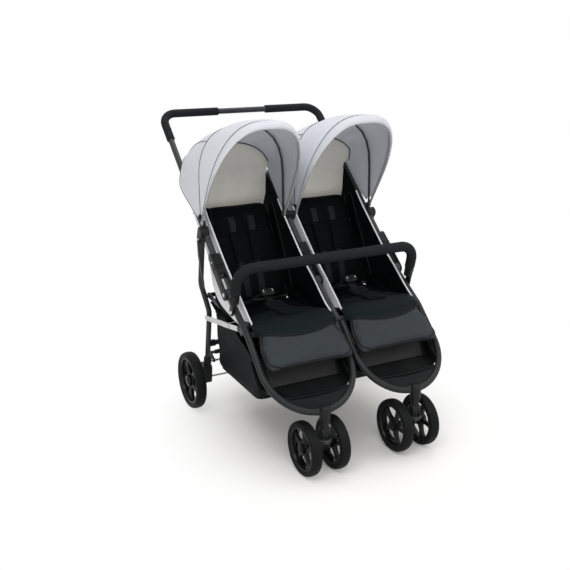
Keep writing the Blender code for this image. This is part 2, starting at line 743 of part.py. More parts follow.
def basket_outline(inset, low, high):
    """The basket's side view between two heights, its front and rear walls leaning outwards."""
    rear_lean = 0.016
    front_lean = 0.004
    full = BASKET_SPLIT - BASKET_FLOOR
    outline = []
    if low <= BASKET_FLOOR + inset:
        outline += [Vector((-0.196 + inset * 0.5, low)), Vector((-0.221 + inset, low + 0.055))]
    else:
        outline += [Vector((-0.221 - front_lean * (low - BASKET_FLOOR) / full + inset, low))]
    outline += [Vector((-0.221 - front_lean * (high - BASKET_FLOOR) / full + inset, high))]
    outline += [Vector((0.106 + rear_lean * (high - BASKET_FLOOR) / full - inset, high))]
    if low <= BASKET_FLOOR + inset:
        outline += [Vector((0.106 - inset, low + 0.035)), Vector((0.020, low))]
    else:
        outline += [Vector((0.106 + rear_lean * (low - BASKET_FLOOR) / full - inset, low))]
    return outline


def build_basket():
    """The cloth basket under the seats: a stiff-bottomed tray and the gathered skirt above it."""
    tray = plate("basket", basket_outline(0, BASKET_FLOOR, BASKET_SPLIT), -BASKET_HALF, BASKET_HALF,
                 BASKET_CLOTH, FLOOR)
    inside = basket_outline(BASKET_WALL, BASKET_FLOOR + BASKET_WALL, BASKET_SPLIT + 0.02)
    hollow = plate("basket_hollow_tool", inside, -BASKET_HALF + BASKET_WALL, BASKET_HALF - BASKET_WALL,
                   BASKET_CLOTH, FLOOR)
    cut(tray, hollow)
    tube_y = leg_line(REAR_CROSS_Z)
    strap_end = Vector((tube_y - LEG_R - GAP - 0.003, REAR_CROSS_Z))
    for side, sign in SIDES:
        strap = plate("basket_strap_tool", link_outline(Vector((0.111, 0.252)), 0.005, strap_end, 0.003),
                      sign * STRAP_X - 0.010, sign * STRAP_X + 0.010, BASKET_CLOTH, FLOOR)
        cut(strap, hollow)
        fuse(tray, strap)
    skirt_line = basket_outline(0, BASKET_SPLIT + GAP, BASKET_TOP)
    skirt = plate("basket_skirt", skirt_line, -BASKET_HALF, BASKET_HALF, BASKET_CLOTH, FLOOR)
    opening = basket_outline(BASKET_WALL, BASKET_SPLIT - 0.02, BASKET_TOP + 0.02)
    through = plate("skirt_hollow_tool", opening, -BASKET_HALF + BASKET_WALL, BASKET_HALF - BASKET_WALL,
                    BASKET_CLOTH, FLOOR)
    cut(skirt, through)


def build_seat_rear():
    """The cross tube between the legs, with two arms carrying the rod on which the backrests turn."""
    tube_place = Vector((leg_line(SEAT_TUBE_Z), SEAT_TUBE_Z))
    share = (LEG_JOG_HIGH - SEAT_TUBE_Z) / (LEG_JOG_HIGH - LEG_JOG_LOW)
    reach = LEG_TOP_X + (LEG_FOOT_X - LEG_TOP_X) * share - LEG_R - 0.0030
    piece = cross_bar("seat_rear_frame", tube_place, -reach, reach, 0.008, FRAME_PAINT, FLOOR)
    rod = cross_bar("back_rod_tool", BACK_FOOT, -SEAT_ARM_X, SEAT_ARM_X, BACK_ROD_R, FRAME_PAINT, FLOOR, 8)
    fuse(piece, rod)
    for side, sign in SIDES:
        x_low, x_high = sorted((sign * (SEAT_ARM_X - 0.004), sign * SEAT_ARM_X))
        arm = plate("seat_arm_tool", link_outline(tube_place, 0.010, BACK_FOOT, 0.008), x_low, x_high,
                    FRAME_PAINT, FLOOR)
        fuse(piece, arm)


def build_seats():
    for side, sign in SIDES:
        x = sign * SEAT_X
        cushion("seat_" + side, x, SEAT_REAR, SEAT_FRONT, SEAT_HALF, SEAT_THICK, 0.008, (-0.35, 0.35),
                SEAT_CLOTH, FOLD_AXIS)
        back_start = toward(BACK_FOOT, BACK_HEAD, 0.0013)
        cushion("backrest_" + side, x, back_start, BACK_HEAD, SEAT_HALF - 0.004, BACK_THICK, 0.008,
                (0.0, 0.45), SEAT_CLOTH, at(0, BACK_FOOT), 0.93)
        cushion("leg_rest_" + side, x, LEG_REST_TOP, LEG_REST_FOOT, SEAT_HALF, LEG_REST_THICK, 0.005, (),
                SEAT_CLOTH, at(0, KNEE), 0.96)
        buckle_y = -0.045
        strap = tube("harness_" + side, [Vector((x, buckle_y, 0.4421)), Vector((x, buckle_y - 0.006, 0.476))],
                     0.011, WEBBING, FOLD_AXIS, 8)
        buckle = cross_bar("buckle_tool", (buckle_y - 0.008, 0.486), x - 0.026, x + 0.026, 0.015,
                           BLACK_PLASTIC, FOLD_AXIS, 8)
        fuse(strap, buckle)


def build_footrests():
    """A moulded step in each hoop: an apron in front, a ledge, and a panel behind it."""
    bottom = HOOP_STRAIGHT + HOOP_R - TUBE_R
    lip = KNEE + HOOP_DIRECTION * (bottom - 0.012)
    ledge_front = KNEE + HOOP_DIRECTION * 0.212
    ledge_back = ledge_front + Vector((0.062, 0.004))
    head = KNEE + HOOP_DIRECTION * 0.070 + Vector((0.020, -0.020))
    for side, sign in SIDES:
        x = sign * HOOP_X
        half = (HOOP_R * math.cos(math.pi / 24) - TUBE_R) - SLIDE
        shell = plate("footrest_" + side, thick_line([lip, ledge_front, ledge_back, head], 0.004),
                      x - half, x + half, BLACK_PLASTIC, FOLD_AXIS)
        rim = []
        for step in range(17):
            angle = math.pi * step / 16
            rim.append((x + half * math.cos(angle), HOOP_STRAIGHT + half * math.sin(angle)))
        rim = [(x + half, -0.02)] + rim + [(x - half, -0.02)]
        normal = Vector((-HOOP_DIRECTION.y, HOOP_DIRECTION.x))
        verts = []
        for depth in (-0.09, 0.09):
            verts += [hoop_point(px, down) + at(0, normal * depth) for px, down in rim]
        count = len(rim)
        faces = [tuple(reversed(range(count))), tuple(range(count, 2 * count))]
        faces += [(k, (k + 1) % count, count + (k + 1) % count, count + k) for k in range(count)]
        prism = node("footrest_outline_tool", verts, faces, BLACK_PLASTIC, FOLD_AXIS)
        combine(shell, prism, 'INTERSECT')


def build_bumper():
    """The padded bar across both seats, in two swinging sockets."""
    axis = at(0, BUMPER_PIVOT)
    socket_end = toward(BUMPER_PIVOT, BUMPER_TOP, SOCKET_END)
    corners = [at(-BUMPER_X, socket_end), at(-BUMPER_X, BUMPER_TOP), at(BUMPER_X, BUMPER_TOP),
               at(BUMPER_X, socket_end)]
    path = rounded(corners, BUMPER_BEND, 5)
    foam_path = [toward(path[0], path[1], GAP)] + path[1:-1] + [toward(path[-1], path[-2], GAP)]
    sleeve("bumper_foam", foam_path, BUMPER_FOAM_R, round_bore(BUMPER_TUBE_R, GAP, 12), GRIP_FOAM, axis, 12)
    tube_path = [toward(path[0], path[1], -SOCKET_DEPTH)] + path[1:-1]
    tube_path.append(toward(path[-1], path[-2], -SOCKET_DEPTH))
    tube("bumper_tube", tube_path, BUMPER_TUBE_R, FRAME_PAINT, axis)
    for side, sign in SIDES:
        x = sign * BUMPER_X
        shell = tube("bumper_socket_" + side, [at(x, toward(BUMPER_PIVOT, BUMPER_TOP, SOCKET_START)),
                                               at(x, socket_end)], 0.0155, BLACK_PLASTIC, axis, 12)
        ear_x = sign * (SIDE_X + TUBE_R + 0.0035 + GAP)
        ear_low, ear_high = sorted((ear_x - 0.0035, ear_x + 0.0035))
        ear_top = toward(BUMPER_PIVOT, BUMPER_TOP, SOCKET_START + 0.014)
        ear = plate("socket_ear_tool", link_outline(BUMPER_PIVOT, 0.012, ear_top, 0.012),
                    ear_low, ear_high, BLACK_PLASTIC, axis)
        fuse(shell, ear)
        bore_end = SOCKET_END - SOCKET_DEPTH - GAP
        bore = tube("socket_bore_tool", [at(x, toward(BUMPER_PIVOT, BUMPER_TOP, bore_end)),
                                         at(x, toward(BUMPER_PIVOT, BUMPER_TOP, SOCKET_END + 0.02))],
                    round_bore(BUMPER_TUBE_R, GAP), BLACK_PLASTIC, axis)
        cut(shell, bore)


def arch(centre_x, half, reach, start, flat):
    """A canopy hoop as (x, radius) places: straight sides up to a share of its reach, then a round top."""
    sides = 3
    top = 12
    left = [(-1.0, start + (reach * flat - start) * k / sides) for k in range(sides)]
    crown = []
    for step in range(top + 1):
        angle = math.pi * step / top
        u = -math.cos(angle)
        rise = math.sin(angle)
        u = math.copysign(abs(u) ** 0.72, u)
        crown.append((u, reach * (flat + (1 - flat) * rise ** 0.85)))
    right = [(1.0, radius) for u, radius in reversed(left)]
    return [(centre_x + half * u, radius) for u, radius in left + crown + right]


def bow(name, centre_x, half, reach, flat, angle, finish, pivot):
    """A flat sprung strip bent over an arch, in the plane at an angle round the canopy pivot."""
    places = arch(centre_x, half, reach, BOW_START, flat)
    out = Vector((math.cos(angle), math.sin(angle)))
    across = Vector((-out.y, out.x))
    verts = []
    for index, (x, radius) in enumerate(places):
        before = places[max(index - 1, 0)]
        after = places[min(index + 1, len(places) - 1)]
        line = Vector((after[0] - before[0], after[1] - before[1])).normalized()
        outward = Vector((-line.y, line.x)) * (BOW_THICK / 2)
        for a, b in ((1, 1), (1, -1), (-1, -1), (-1, 1)):
            reach_here = radius + outward.y * a
            verts.append(at(x + outward.x * a, CANOPY_PIVOT + out * reach_here + across * (BOW_WIDE / 2 * b)))
    faces = [(3, 2, 1, 0)]
    for row in range(len(places) - 1):
        for k in range(4):
            m = (k + 1) % 4
            faces.append((row * 4 + k, row * 4 + m, row * 4 + 4 + m, row * 4 + 4 + k))
    last = (len(places) - 1) * 4
    faces.append((last, last + 1, last + 2, last + 3))
    piece = node(name, verts, [tuple(reversed(face)) for face in faces], finish, pivot)
    for x in (centre_x - half, centre_x + half):
        disc = cross_bar(name + "_disc_tool", CANOPY_PIVOT, x - BOW_THICK / 2, x + BOW_THICK / 2, 0.0085,
                         finish, pivot, 12)
        bore_r = round_bore(STUD_R, SLIDE / 2, 8)
        bore = cross_bar(name + "_bore_tool", CANOPY_PIVOT, x - 0.01, x + 0.01, bore_r, finish, pivot, 8)
        fuse(piece, disc)
        cut(piece, bore)
    return piece


def build_canopies():
    axis = at(0, CANOPY_PIVOT)
    for side, sign in SIDES:
        x = sign * CANOPY_X
        bow("canopy_front_bow_" + side, x, BOW_HALF, FRONT_BOW_REACH, FRONT_FLAT, FRONT_BOW_ANGLE,
            BLACK_PLASTIC, axis)
        bow("canopy_mid_bow_" + side, x, BOW_HALF - BOW_THICK - SLIDE, MID_BOW_REACH, MID_FLAT, MID_BOW_ANGLE,
            BLACK_PLASTIC, axis)
        canopy_cloth("canopy_" + side, x, sign, axis)


def canopy_cloth(name, centre_x, sign, pivot):
    """One sewn cover over both bows, its rear hem lower outside the side tube."""
    hem = 0.0175
    stations = [(FRONT_BOW_ANGLE + 0.025, FRONT_BOW_REACH, FRONT_FLAT, 0),
                (FRONT_BOW_ANGLE - hem, FRONT_BOW_REACH, FRONT_FLAT, 0)]
    for share in (0.33, 0.66):
        angle = FRONT_BOW_ANGLE + (MID_BOW_ANGLE - FRONT_BOW_ANGLE) * share
        reach = FRONT_BOW_REACH + (MID_BOW_REACH - FRONT_BOW_REACH) * share - 0.003
        stations.append((angle, reach, FRONT_FLAT + (MID_FLAT - FRONT_FLAT) * share, 0))
    stations.append((MID_BOW_ANGLE + hem, MID_BOW_REACH, MID_FLAT, 0))
    stations.append((MID_BOW_ANGLE - hem, MID_BOW_REACH, MID_FLAT, 0))
    for share in (0.33, 0.66, 1.0):
        angle = MID_BOW_ANGLE + (REAR_HEM_ANGLE - MID_BOW_ANGLE) * share
        flat = MID_FLAT + (REAR_FLAT - MID_FLAT) * share
        stations.append((angle, MID_BOW_REACH - 0.012 * share, flat, share))
    verts = []
    rings = []
    for offset in (CLOTH_OFF + CLOTH, CLOTH_OFF):
        for angle, reach, flat, rearward in stations:
            ring = []
            places = arch(centre_x, BOW_HALF + offset, reach + offset, 0.030, flat)
            for index, (x, radius) in enumerate(places):
                from_outer = len(places) - 1 - index if sign > 0 else index
                drop = rearward * FLAP_DROP if from_outer <= 3 else 0
                out = Vector((math.cos(angle - drop), math.sin(angle - drop)))
                ring.append(len(verts))
                verts.append(at(x, CANOPY_PIVOT + out * radius))
            rings.append(ring)
    count = len(stations)
    outer = rings[:count]
    inner = rings[count:]
    faces = []
    for row in range(count - 1):
        for k in range(len(outer[0]) - 1):
            faces.append((outer[row][k], outer[row][k + 1], outer[row + 1][k + 1], outer[row + 1][k]))
            faces.append((inner[row][k], inner[row + 1][k], inner[row + 1][k + 1], inner[row][k + 1]))
        last = len(outer[0]) - 1
        faces.append((outer[row][0], outer[row + 1][0], inner[row + 1][0], inner[row][0]))
        faces.append((inner[row][last], inner[row + 1][last], outer[row + 1][last], outer[row][last]))
    for k in range(len(outer[0]) - 1):
        faces.append((outer[0][k], inner[0][k], inner[0][k + 1], outer[0][k + 1]))
        faces.append((outer[-1][k], outer[-1][k + 1], inner[-1][k + 1], inner[-1][k]))
    return node(name, verts, faces, CANOPY_CLOTH, pivot)


build_handle()
build_upper_centre()
build_housings()
build_hoops()
build_legs()
build_leg_brackets()
build_wheel_brackets()
build_rear_wheels()
build_casters()
build_brake()
build_side_links()
build_basket()
build_seat_rear()
build_seats()
build_footrests()
build_bumper()
build_canopies()
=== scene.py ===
import math

import bmesh
import bpy
import numpy as np
from mathutils import Matrix, Vector, noise
from mathutils.bvhtree import BVHTree


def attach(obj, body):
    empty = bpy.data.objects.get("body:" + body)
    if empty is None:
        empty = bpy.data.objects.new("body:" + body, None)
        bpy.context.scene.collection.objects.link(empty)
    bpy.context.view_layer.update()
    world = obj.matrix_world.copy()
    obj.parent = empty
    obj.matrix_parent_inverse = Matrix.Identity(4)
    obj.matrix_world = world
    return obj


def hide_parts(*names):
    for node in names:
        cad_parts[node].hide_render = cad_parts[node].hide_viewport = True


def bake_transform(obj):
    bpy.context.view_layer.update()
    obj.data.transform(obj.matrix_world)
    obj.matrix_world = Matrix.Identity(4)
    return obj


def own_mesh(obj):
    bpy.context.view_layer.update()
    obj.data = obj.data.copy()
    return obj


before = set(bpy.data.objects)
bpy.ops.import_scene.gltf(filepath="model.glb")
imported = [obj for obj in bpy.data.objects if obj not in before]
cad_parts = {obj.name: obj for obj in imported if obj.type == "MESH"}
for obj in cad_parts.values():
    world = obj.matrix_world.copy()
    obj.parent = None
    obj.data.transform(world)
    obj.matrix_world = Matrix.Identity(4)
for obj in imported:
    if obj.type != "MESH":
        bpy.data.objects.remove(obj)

scene = bpy.context.scene
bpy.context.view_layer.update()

# CAMERA, FLOOR AND LIGHT
# The stroller stands in a white studio, seen from its front left and a little above.
# The floor is pale and takes the soft shadow; away from the wheels it runs out to white.
view = bpy.data.cameras.new("studio_camera")
view.lens = 51.42
view.sensor_width = 36
camera = bpy.data.objects.new("studio_camera", view)
camera.location = (-1.3229, -2.4027, 1.3465)
camera.rotation_euler = (math.radians(90 - 17.682), 0, -math.radians(27.528))
scene.collection.objects.link(camera)
scene.camera = camera
scene.view_settings.view_transform = "Standard"


def add_nodes(tree, kinds, links, **made):
    """Fill a node tree. kinds gives each node its type and values: a lower-case key is a setting, any other
    an input. A link reads 'node.socket > node.socket', with a socket's name or number."""
    for name, (kind, values) in kinds.items():
        made[name] = tree.nodes.new(kind)
        for key, value in values.items():
            if isinstance(key, str) and key.islower():
                setattr(made[name], key, value)
            else:
                made[name].inputs[key].default_value = value
    for link in links.split(", "):
        (source, leaves), (target, enters) = [end.split(".") for end in link.split(" > ")]
        tree.links.new(made[source].outputs[int(leaves) if leaves.isdigit() else leaves],
                       made[target].inputs[int(enters) if enters.isdigit() else enters])


def painted(name, surface, kinds, links):
    """A material: the plain values of its shader, its other nodes and their links."""
    made = bpy.data.materials.new(name)
    made.use_nodes = True
    nodes = made.node_tree.nodes
    for label, value in surface.items():
        nodes["Principled BSDF"].inputs[label].default_value = value
    add_nodes(made.node_tree, {"where": ("ShaderNodeTexCoord", {}), **kinds}, links,
              shader=nodes["Principled BSDF"], out=nodes["Material Output"])
    return made


# A mask that is 1 for the rays that show the white room: camera, mirror and glass rays.
WHITE = (1.0, 1.0, 1.0, 1.0)
MULTIPLY = ("ShaderNodeMath", {"operation": "MULTIPLY"})


def ranged(start, end=(0.0, 1.0), **values):
    """A node that carries one range of values over to another."""
    return "ShaderNodeMapRange", {"From Min": start[0], "From Max": start[1], "To Min": end[0],
                                  "To Max": end[1], **values}


WHITE_RAYS = {"rays": ("ShaderNodeLightPath", {}), "first": ("ShaderNodeMath", {"operation": "MAXIMUM"}),
              "any": ("ShaderNodeMath", {"operation": "MAXIMUM"}), "either": ("ShaderNodeMixShader", {})}
WHITE_LINKS = ("rays.Is Camera Ray > first.0, rays.Is Glossy Ray > first.1, first.0 > any.0, "
               "rays.Is Transmission Ray > any.1, either.0 > out.Surface, ")

room = bpy.data.worlds.new("white_room")
room.use_nodes = True
scene.world = room
plain = room.node_tree.nodes["Background"]
plain.inputs["Color"].default_value = WHITE
plain.inputs["Strength"].default_value = 0.78
shown = ("ShaderNodeBackground", {"Color": WHITE, "Strength": 1.0})
add_nodes(room.node_tree, {**WHITE_RAYS, "shown": shown},
          WHITE_LINKS + "any.0 > either.Fac, plain.0 > either.1, shown.0 > either.2",
          plain=plain, out=room.node_tree.nodes["World Output"])

floor_mesh = bpy.data.meshes.new("studio_floor")
floor_mesh.from_pydata([(-9, -9, 0), (9, -9, 0), (9, 9, 0), (-9, 9, 0)], [], [(0, 1, 2, 3)])
studio_floor = bpy.data.objects.new("studio_floor", floor_mesh)
scene.collection.objects.link(studio_floor)
floor_mesh.materials.append(painted(
    "pale_floor", {"Base Color": (0.90, 0.89, 0.86, 1.0), "Roughness": 0.9, "Specular IOR Level": 0.1},
    {**WHITE_RAYS, "paper": ("ShaderNodeEmission", {"Color": WHITE, "Strength": 1.0}), "meets": MULTIPLY,
     "spread": ("ShaderNodeMapping", {"Location": (-0.02, 0.12, 0.0), "Scale": (0.92, 0.80, 1.0)}),
     "far": ("ShaderNodeVectorMath", {"operation": "LENGTH"}),
     "fade": ranged((0.20, 0.60), interpolation_type="SMOOTHSTEP")},
    WHITE_LINKS + "where.Object > spread.Vector, spread.0 > far.0, far.Value > fade.Value, fade.0 > meets.0, "
    "any.0 > meets.1, meets.0 > either.Fac, shader.0 > either.1, paper.0 > either.2"))

for lamp_name, place, size, power in (("key_lamp", (-1.2, -1.6, 2.7), 1.6, 26.0),
                                      ("top_lamp", (0.5, 0.6, 3.0), 2.0, 22.0),
                                      ("fill_lamp", (1.9, -1.6, 1.4), 1.6, 9.0),
                                      ("front_lamp", (-0.5, -3.0, 0.9), 1.8, 12.0)):
    glow = bpy.data.lights.new(lamp_name, "AREA")
    glow.shape = "SQUARE"
    glow.size = size
    glow.energy = power
    lamp = bpy.data.objects.new(lamp_name, glow)
    lamp.location = place
    aim = Vector((0, 0, 0.5)) - Vector(place)
    lamp.rotation_euler = aim.to_track_quat("-Z", "Y").to_euler()
    scene.collection.objects.link(lamp)


# FRAME TUBES
# Bent steel tube with a satin gunmetal coat: the U-shaped handle frame, the two J-shaped front hoops,
# the cross tubes and the rear legs. Each is one length of tube following its bent centre line.
FOLD = Vector((-0.095, 0.515))
HANDLE_TOP = Vector((0.496, 1.037))
KNEE = Vector((-0.240, 0.422))
UP_FRAME = (HANDLE_TOP - FOLD).normalized()
HOOP_DOWN = Vector((-math.cos(math.radians(44)), -math.sin(math.radians(44))))
TUBE_R = 0.0105
SIDE_X = 0.3275
HOOP_X, HOOP_R, HOOP_BEND = 0.170, 0.1575, 0.135
SIDES = (("left", -1), ("right", 1))
ACROSS = (1, 0, 0)


def at(x, place):
    return Vector((x, place[0], place[1]))


def on_upper(distance):
    return FOLD + UP_FRAME * distance


def side_at(distance):
    """How far out the handle frame's side tube lies at a distance above the fold joint."""
    return SIDE_X - 0.005 * distance / (HANDLE_TOP - FOLD).length


def rounded(corners, radius, steps=14):
    """A path through corners, each inner corner bent to a radius."""
    path = [corners[0]]
    for before, corner, after in zip(corners, corners[1:], corners[2:]):
        back = (before - corner).normalized()
        ahead = (after - corner).normalized()
        half = back.angle(ahead) / 2
        middle = corner + (back + ahead).normalized() * (radius / math.sin(half))
        a = corner + back * (radius / math.tan(half)) - middle
        b = corner + ahead * (radius / math.tan(half)) - middle
        swing = math.pi - 2 * half
        for step in range(steps + 1):
            t = step / steps
            path.append(middle + (a * math.sin((1 - t) * swing) + b * math.sin(t * swing)) / math.sin(swing))
    path.append(corners[-1])
    return path


def in_scene(name, mesh):
    """A new object with this mesh."""
    piece = bpy.data.objects.new(name, mesh)
    scene.collection.objects.link(piece)
    return piece


def cleaned(mesh, merge=0.0):
    """Doubles merged where asked, and faces turned outwards."""
    solid = bmesh.new()
    solid.from_mesh(mesh)
    if merge:
        bmesh.ops.remove_doubles(solid, verts=solid.verts, dist=merge)
    bmesh.ops.recalc_face_normals(solid, faces=solid.faces)
    solid.to_mesh(mesh)
    solid.free()


def smoothed(mesh, sharp):
    """Smooth shading but for the edges sharper than an angle; 0 leaves every edge smooth."""
    mesh.shade_smooth()
    if sharp:
        mesh.set_sharp_from_angle(angle=math.radians(sharp))


def worked(piece):
    """Apply a piece's modifiers and take them off; returns its plain mesh."""
    mesh = bpy.data.meshes.new_from_object(piece.evaluated_get(bpy.context.evaluated_depsgraph_get()))
    piece.modifiers.clear()
    piece.data = mesh
    return mesh


def shape(name, verts, faces, finish, sharp=35, outward=True):
    """A mesh object at the origin, smooth but for its sharp edges, with its faces turned outwards."""
    mesh = bpy.data.meshes.new(name)
    mesh.from_pydata([tuple(v) for v in verts], [], faces)
    if outward:
        cleaned(mesh)
    for each in finish if isinstance(finish, list) else [finish]:
        mesh.materials.append(each)
    smoothed(mesh, sharp)
    return in_scene(name, mesh)


def seed_of(places, joined=True):
    """Points, joined in a line or loose, for a Geometry Nodes tree to work on."""
    mesh = bpy.data.meshes.new("seed")
    mesh.from_pydata([tuple(p) for p in places], [(k, k + 1) for k in range(len(places) - 1) if joined], [])
    return in_scene("seed", mesh)


def grown(name, seed, tree, values, sharp=35):
    """Run a Geometry Nodes tree on a seed object, set its inputs by name, and keep the result as a mesh."""
    change = seed.modifiers.new("grow", "NODES")
    change.node_group = tree
    for item in tree.interface.items_tree:
        if item.item_type == "SOCKET" and item.in_out == "INPUT" and item.name in values:
            change[item.identifier] = values[item.name]
    seed.update_tag()
    bpy.context.view_layer.update()
    mesh = worked(seed)
    bpy.data.objects.remove(seed)
    mesh.name = name
    cleaned(mesh, 1e-6)
    smoothed(mesh, sharp)
    return in_scene(name, mesh)


def new_tree(name, sockets, kinds, links):
    """A Geometry Nodes tree with named inputs. It ends in Realize Instances and Set Material."""
    tree = bpy.data.node_groups.new(name, "GeometryNodeTree")
    for label, kind in [("Geometry", "Geometry")] + sockets + [("Finish", "Material")]:
        tree.interface.new_socket(label, in_out="INPUT", socket_type="NodeSocket" + kind)
    tree.interface.new_socket("Geometry", in_out="OUTPUT", socket_type="NodeSocketGeometry")
    finish = {"real": ("GeometryNodeRealizeInstances", {}), "coat": ("GeometryNodeSetMaterial", {})}
    add_nodes(tree, {**kinds, **finish}, links + ", real.Geometry > coat.Geometry, "
              "given.Finish > coat.Material, coat.Geometry > result.Geometry",
              given=tree.nodes.new("NodeGroupInput"), result=tree.nodes.new("NodeGroupOutput"))
    return tree


bent_tube = new_tree("bent_tube", [("Radius", "Float"), ("Sides", "Int")], {
    "line": ("GeometryNodeMeshToCurve", {}), "ring": ("GeometryNodeCurvePrimitiveCircle", {}),
    "skin": ("GeometryNodeCurveToMesh", {"Fill Caps": True}),
    "swell": ("GeometryNodeInputNamedAttribute", {"data_type": "FLOAT", "Name": "swell"})},
    "given.Geometry > line.Mesh, given.Radius > ring.Radius, given.Sides > ring.Resolution, "
    "line.Curve > skin.Curve, ring.Curve > skin.Profile Curve, swell.Attribute > skin.Scale, "
    "skin.Mesh > real.Geometry")


def tube(name, path, radius, finish, sides=20, swells=None, sharp=50):
    """A round tube along a path; swells are its thickness at each point as a share of the radius."""
    seed = seed_of(path)
    share = seed.data.attributes.new("swell", "FLOAT", "POINT")
    share.data.foreach_set("value", swells or [1.0] * len(path))
    return grown(name, seed, bent_tube, {"Radius": radius, "Sides": sides, "Finish": finish}, sharp)


def gather(name, parts):
    """One mesh out of several, their finishes kept."""
    mesh = bpy.data.meshes.new(name)
    whole = bmesh.new()
    for part in parts:
        before = len(whole.faces)
        whole.from_mesh(part.data)
        whole.faces.ensure_lookup_table()
        moved = []
        for own in part.data.materials:
            if own.name not in mesh.materials:
                mesh.materials.append(own)
            moved.append(mesh.materials.find(own.name))
        for face in whole.faces[before:]:
            face.material_index = moved[min(face.material_index, len(moved) - 1)]
    whole.to_mesh(mesh)
    whole.free()
    for part in parts:
        bpy.data.objects.remove(part)
    return in_scene(name, mesh)


def effect(name, inputs, outputs, kinds, links):
    """A shader node group with a vector input, named number inputs and named outputs."""
    tree = bpy.data.node_groups.new(name, "ShaderNodeTree")
    tree.interface.new_socket("Vector", in_out="INPUT", socket_type="NodeSocketVector")
    for label, value in inputs.items():
        tree.interface.new_socket(label, in_out="INPUT", socket_type="NodeSocketFloat").default_value = value
    for label in outputs:
        tree.interface.new_socket(label, in_out="OUTPUT", socket_type="NodeSocketFloat")
    add_nodes(tree, kinds, links, given=tree.nodes.new("NodeGroupInput"),
              result=tree.nodes.new("NodeGroupOutput"))
    return tree


def cloudy(detail, **values):
    return "ShaderNodeTexNoise", {"Detail": detail, **values}


# Fine grain of a sprayed coat, a moulded face or foam: a cloudy shade and a small height.
grain = effect("fine_grain", {"Cells per metre": 900.0, "Clouds per metre": 14.0}, ("Shade", "Height"),
               {"clouds": cloudy(4.0), "cells": cloudy(2.0)},
               "given.Vector > clouds.Vector, given.Clouds per metre > clouds.Scale, "
               "given.Vector > cells.Vector, given.Cells per metre > cells.Scale, "
               "clouds.Fac > result.Shade, cells.Fac > result.Height")

# Rubbed edges: where an edge stands out and a patchy noise agrees.
rubbed = effect("rubbed_edges", {"Amount": 0.4}, ("Mask",), {
    "form": ("ShaderNodeNewGeometry", {}), "edge": ranged((0.53, 0.62)),
    "patch": cloudy(5.0, Scale=60.0), "both": MULTIPLY, "much": MULTIPLY},
    "form.Pointiness > edge.Value, given.Vector > patch.Vector, edge.0 > both.0, patch.Fac > both.1, "
    "both.0 > much.0, given.Amount > much.1, much.0 > result.Mask")

# Dust: thin, patchy and only on what faces up.
dust = effect("settled_dust", {"Amount": 0.2}, ("Mask",), {
    "form": ("ShaderNodeNewGeometry", {}), "facing": ("ShaderNodeSeparateXYZ", {}),
    "upward": ranged((0.2, 1.0)), "patch": cloudy(6.0, Scale=22.0), "both": MULTIPLY, "much": MULTIPLY},
    "form.Normal > facing.0, facing.Z > upward.Value, given.Vector > patch.Vector, upward.0 > both.0, "
    "patch.Fac > both.1, both.0 > much.0, given.Amount > much.1, much.0 > result.Mask")


def placed(tree, **values):
    """An effect put in a material with its own values."""
    own = {key.replace("_", " "): value for key, value in values.items()}
    return "ShaderNodeGroup", {"node_tree": tree, **own}


def mixed(*colours):
    """A mix of two colours; one left out, or None, comes by a link."""
    ends = {socket: (*colour, 1.0) for socket, colour in zip((6, 7), colours) if colour}
    return "ShaderNodeMix", {"data_type": "RGBA", **ends}


def hard_finish(name, dark, light, worn, rough, cells=900.0, depth=0.00004, metal=0.0, specular=0.5, wear=0.4,
                dusty=0.12):
    """A hard surface: two close shades in clouds, grain, rubbed edges and a little dust."""
    return painted(name, {"Metallic": metal, "Specular IOR Level": specular}, {
        "fine": placed(grain, Cells_per_metre=cells), "rub": placed(rubbed, Amount=wear),
        "film": placed(dust, Amount=dusty), "shades": mixed(dark, light), "edges": mixed(None, worn),
        "dusted": mixed(None, (0.16, 0.155, 0.145)),
        "gloss": ranged((0.3, 0.7), rough), "bump": ("ShaderNodeBump", {"Strength": 0.6, "Distance": depth})},
        "where.Object > fine.Vector, where.Object > rub.Vector, where.Object > film.Vector, "
        "fine.Shade > shades.Factor, rub.Mask > edges.Factor, shades.2 > edges.6, film.Mask > dusted.Factor, "
        "edges.2 > dusted.6, dusted.2 > shader.Base Color, fine.Shade > gloss.Value, "
        "gloss.0 > shader.Roughness, fine.Height > bump.Height, bump.Normal > shader.Normal")


gunmetal = hard_finish("gunmetal_coat", (0.018, 0.020, 0.022), (0.032, 0.035, 0.038), (0.12, 0.12, 0.13),
                       (0.30, 0.42), metal=0.2, specular=0.25)
black_coat = hard_finish("black_tube_coat", (0.0075, 0.0085, 0.0095), (0.0130, 0.0145, 0.0160),
                         (0.05, 0.05, 0.052), (0.32, 0.44), specular=0.22)
bright_zinc = hard_finish("bright_zinc", (0.46, 0.46, 0.47), (0.66, 0.66, 0.67), (0.8, 0.8, 0.8),
                          (0.20, 0.34), cells=400.0, metal=1.0, dusty=0.05)
black_nylon = hard_finish("black_nylon", (0.0050, 0.0055, 0.0060), (0.0100, 0.0108, 0.0118),
                          (0.03, 0.03, 0.032), (0.34, 0.50), cells=1500.0, depth=0.00006, specular=0.18,
                          dusty=0.05)


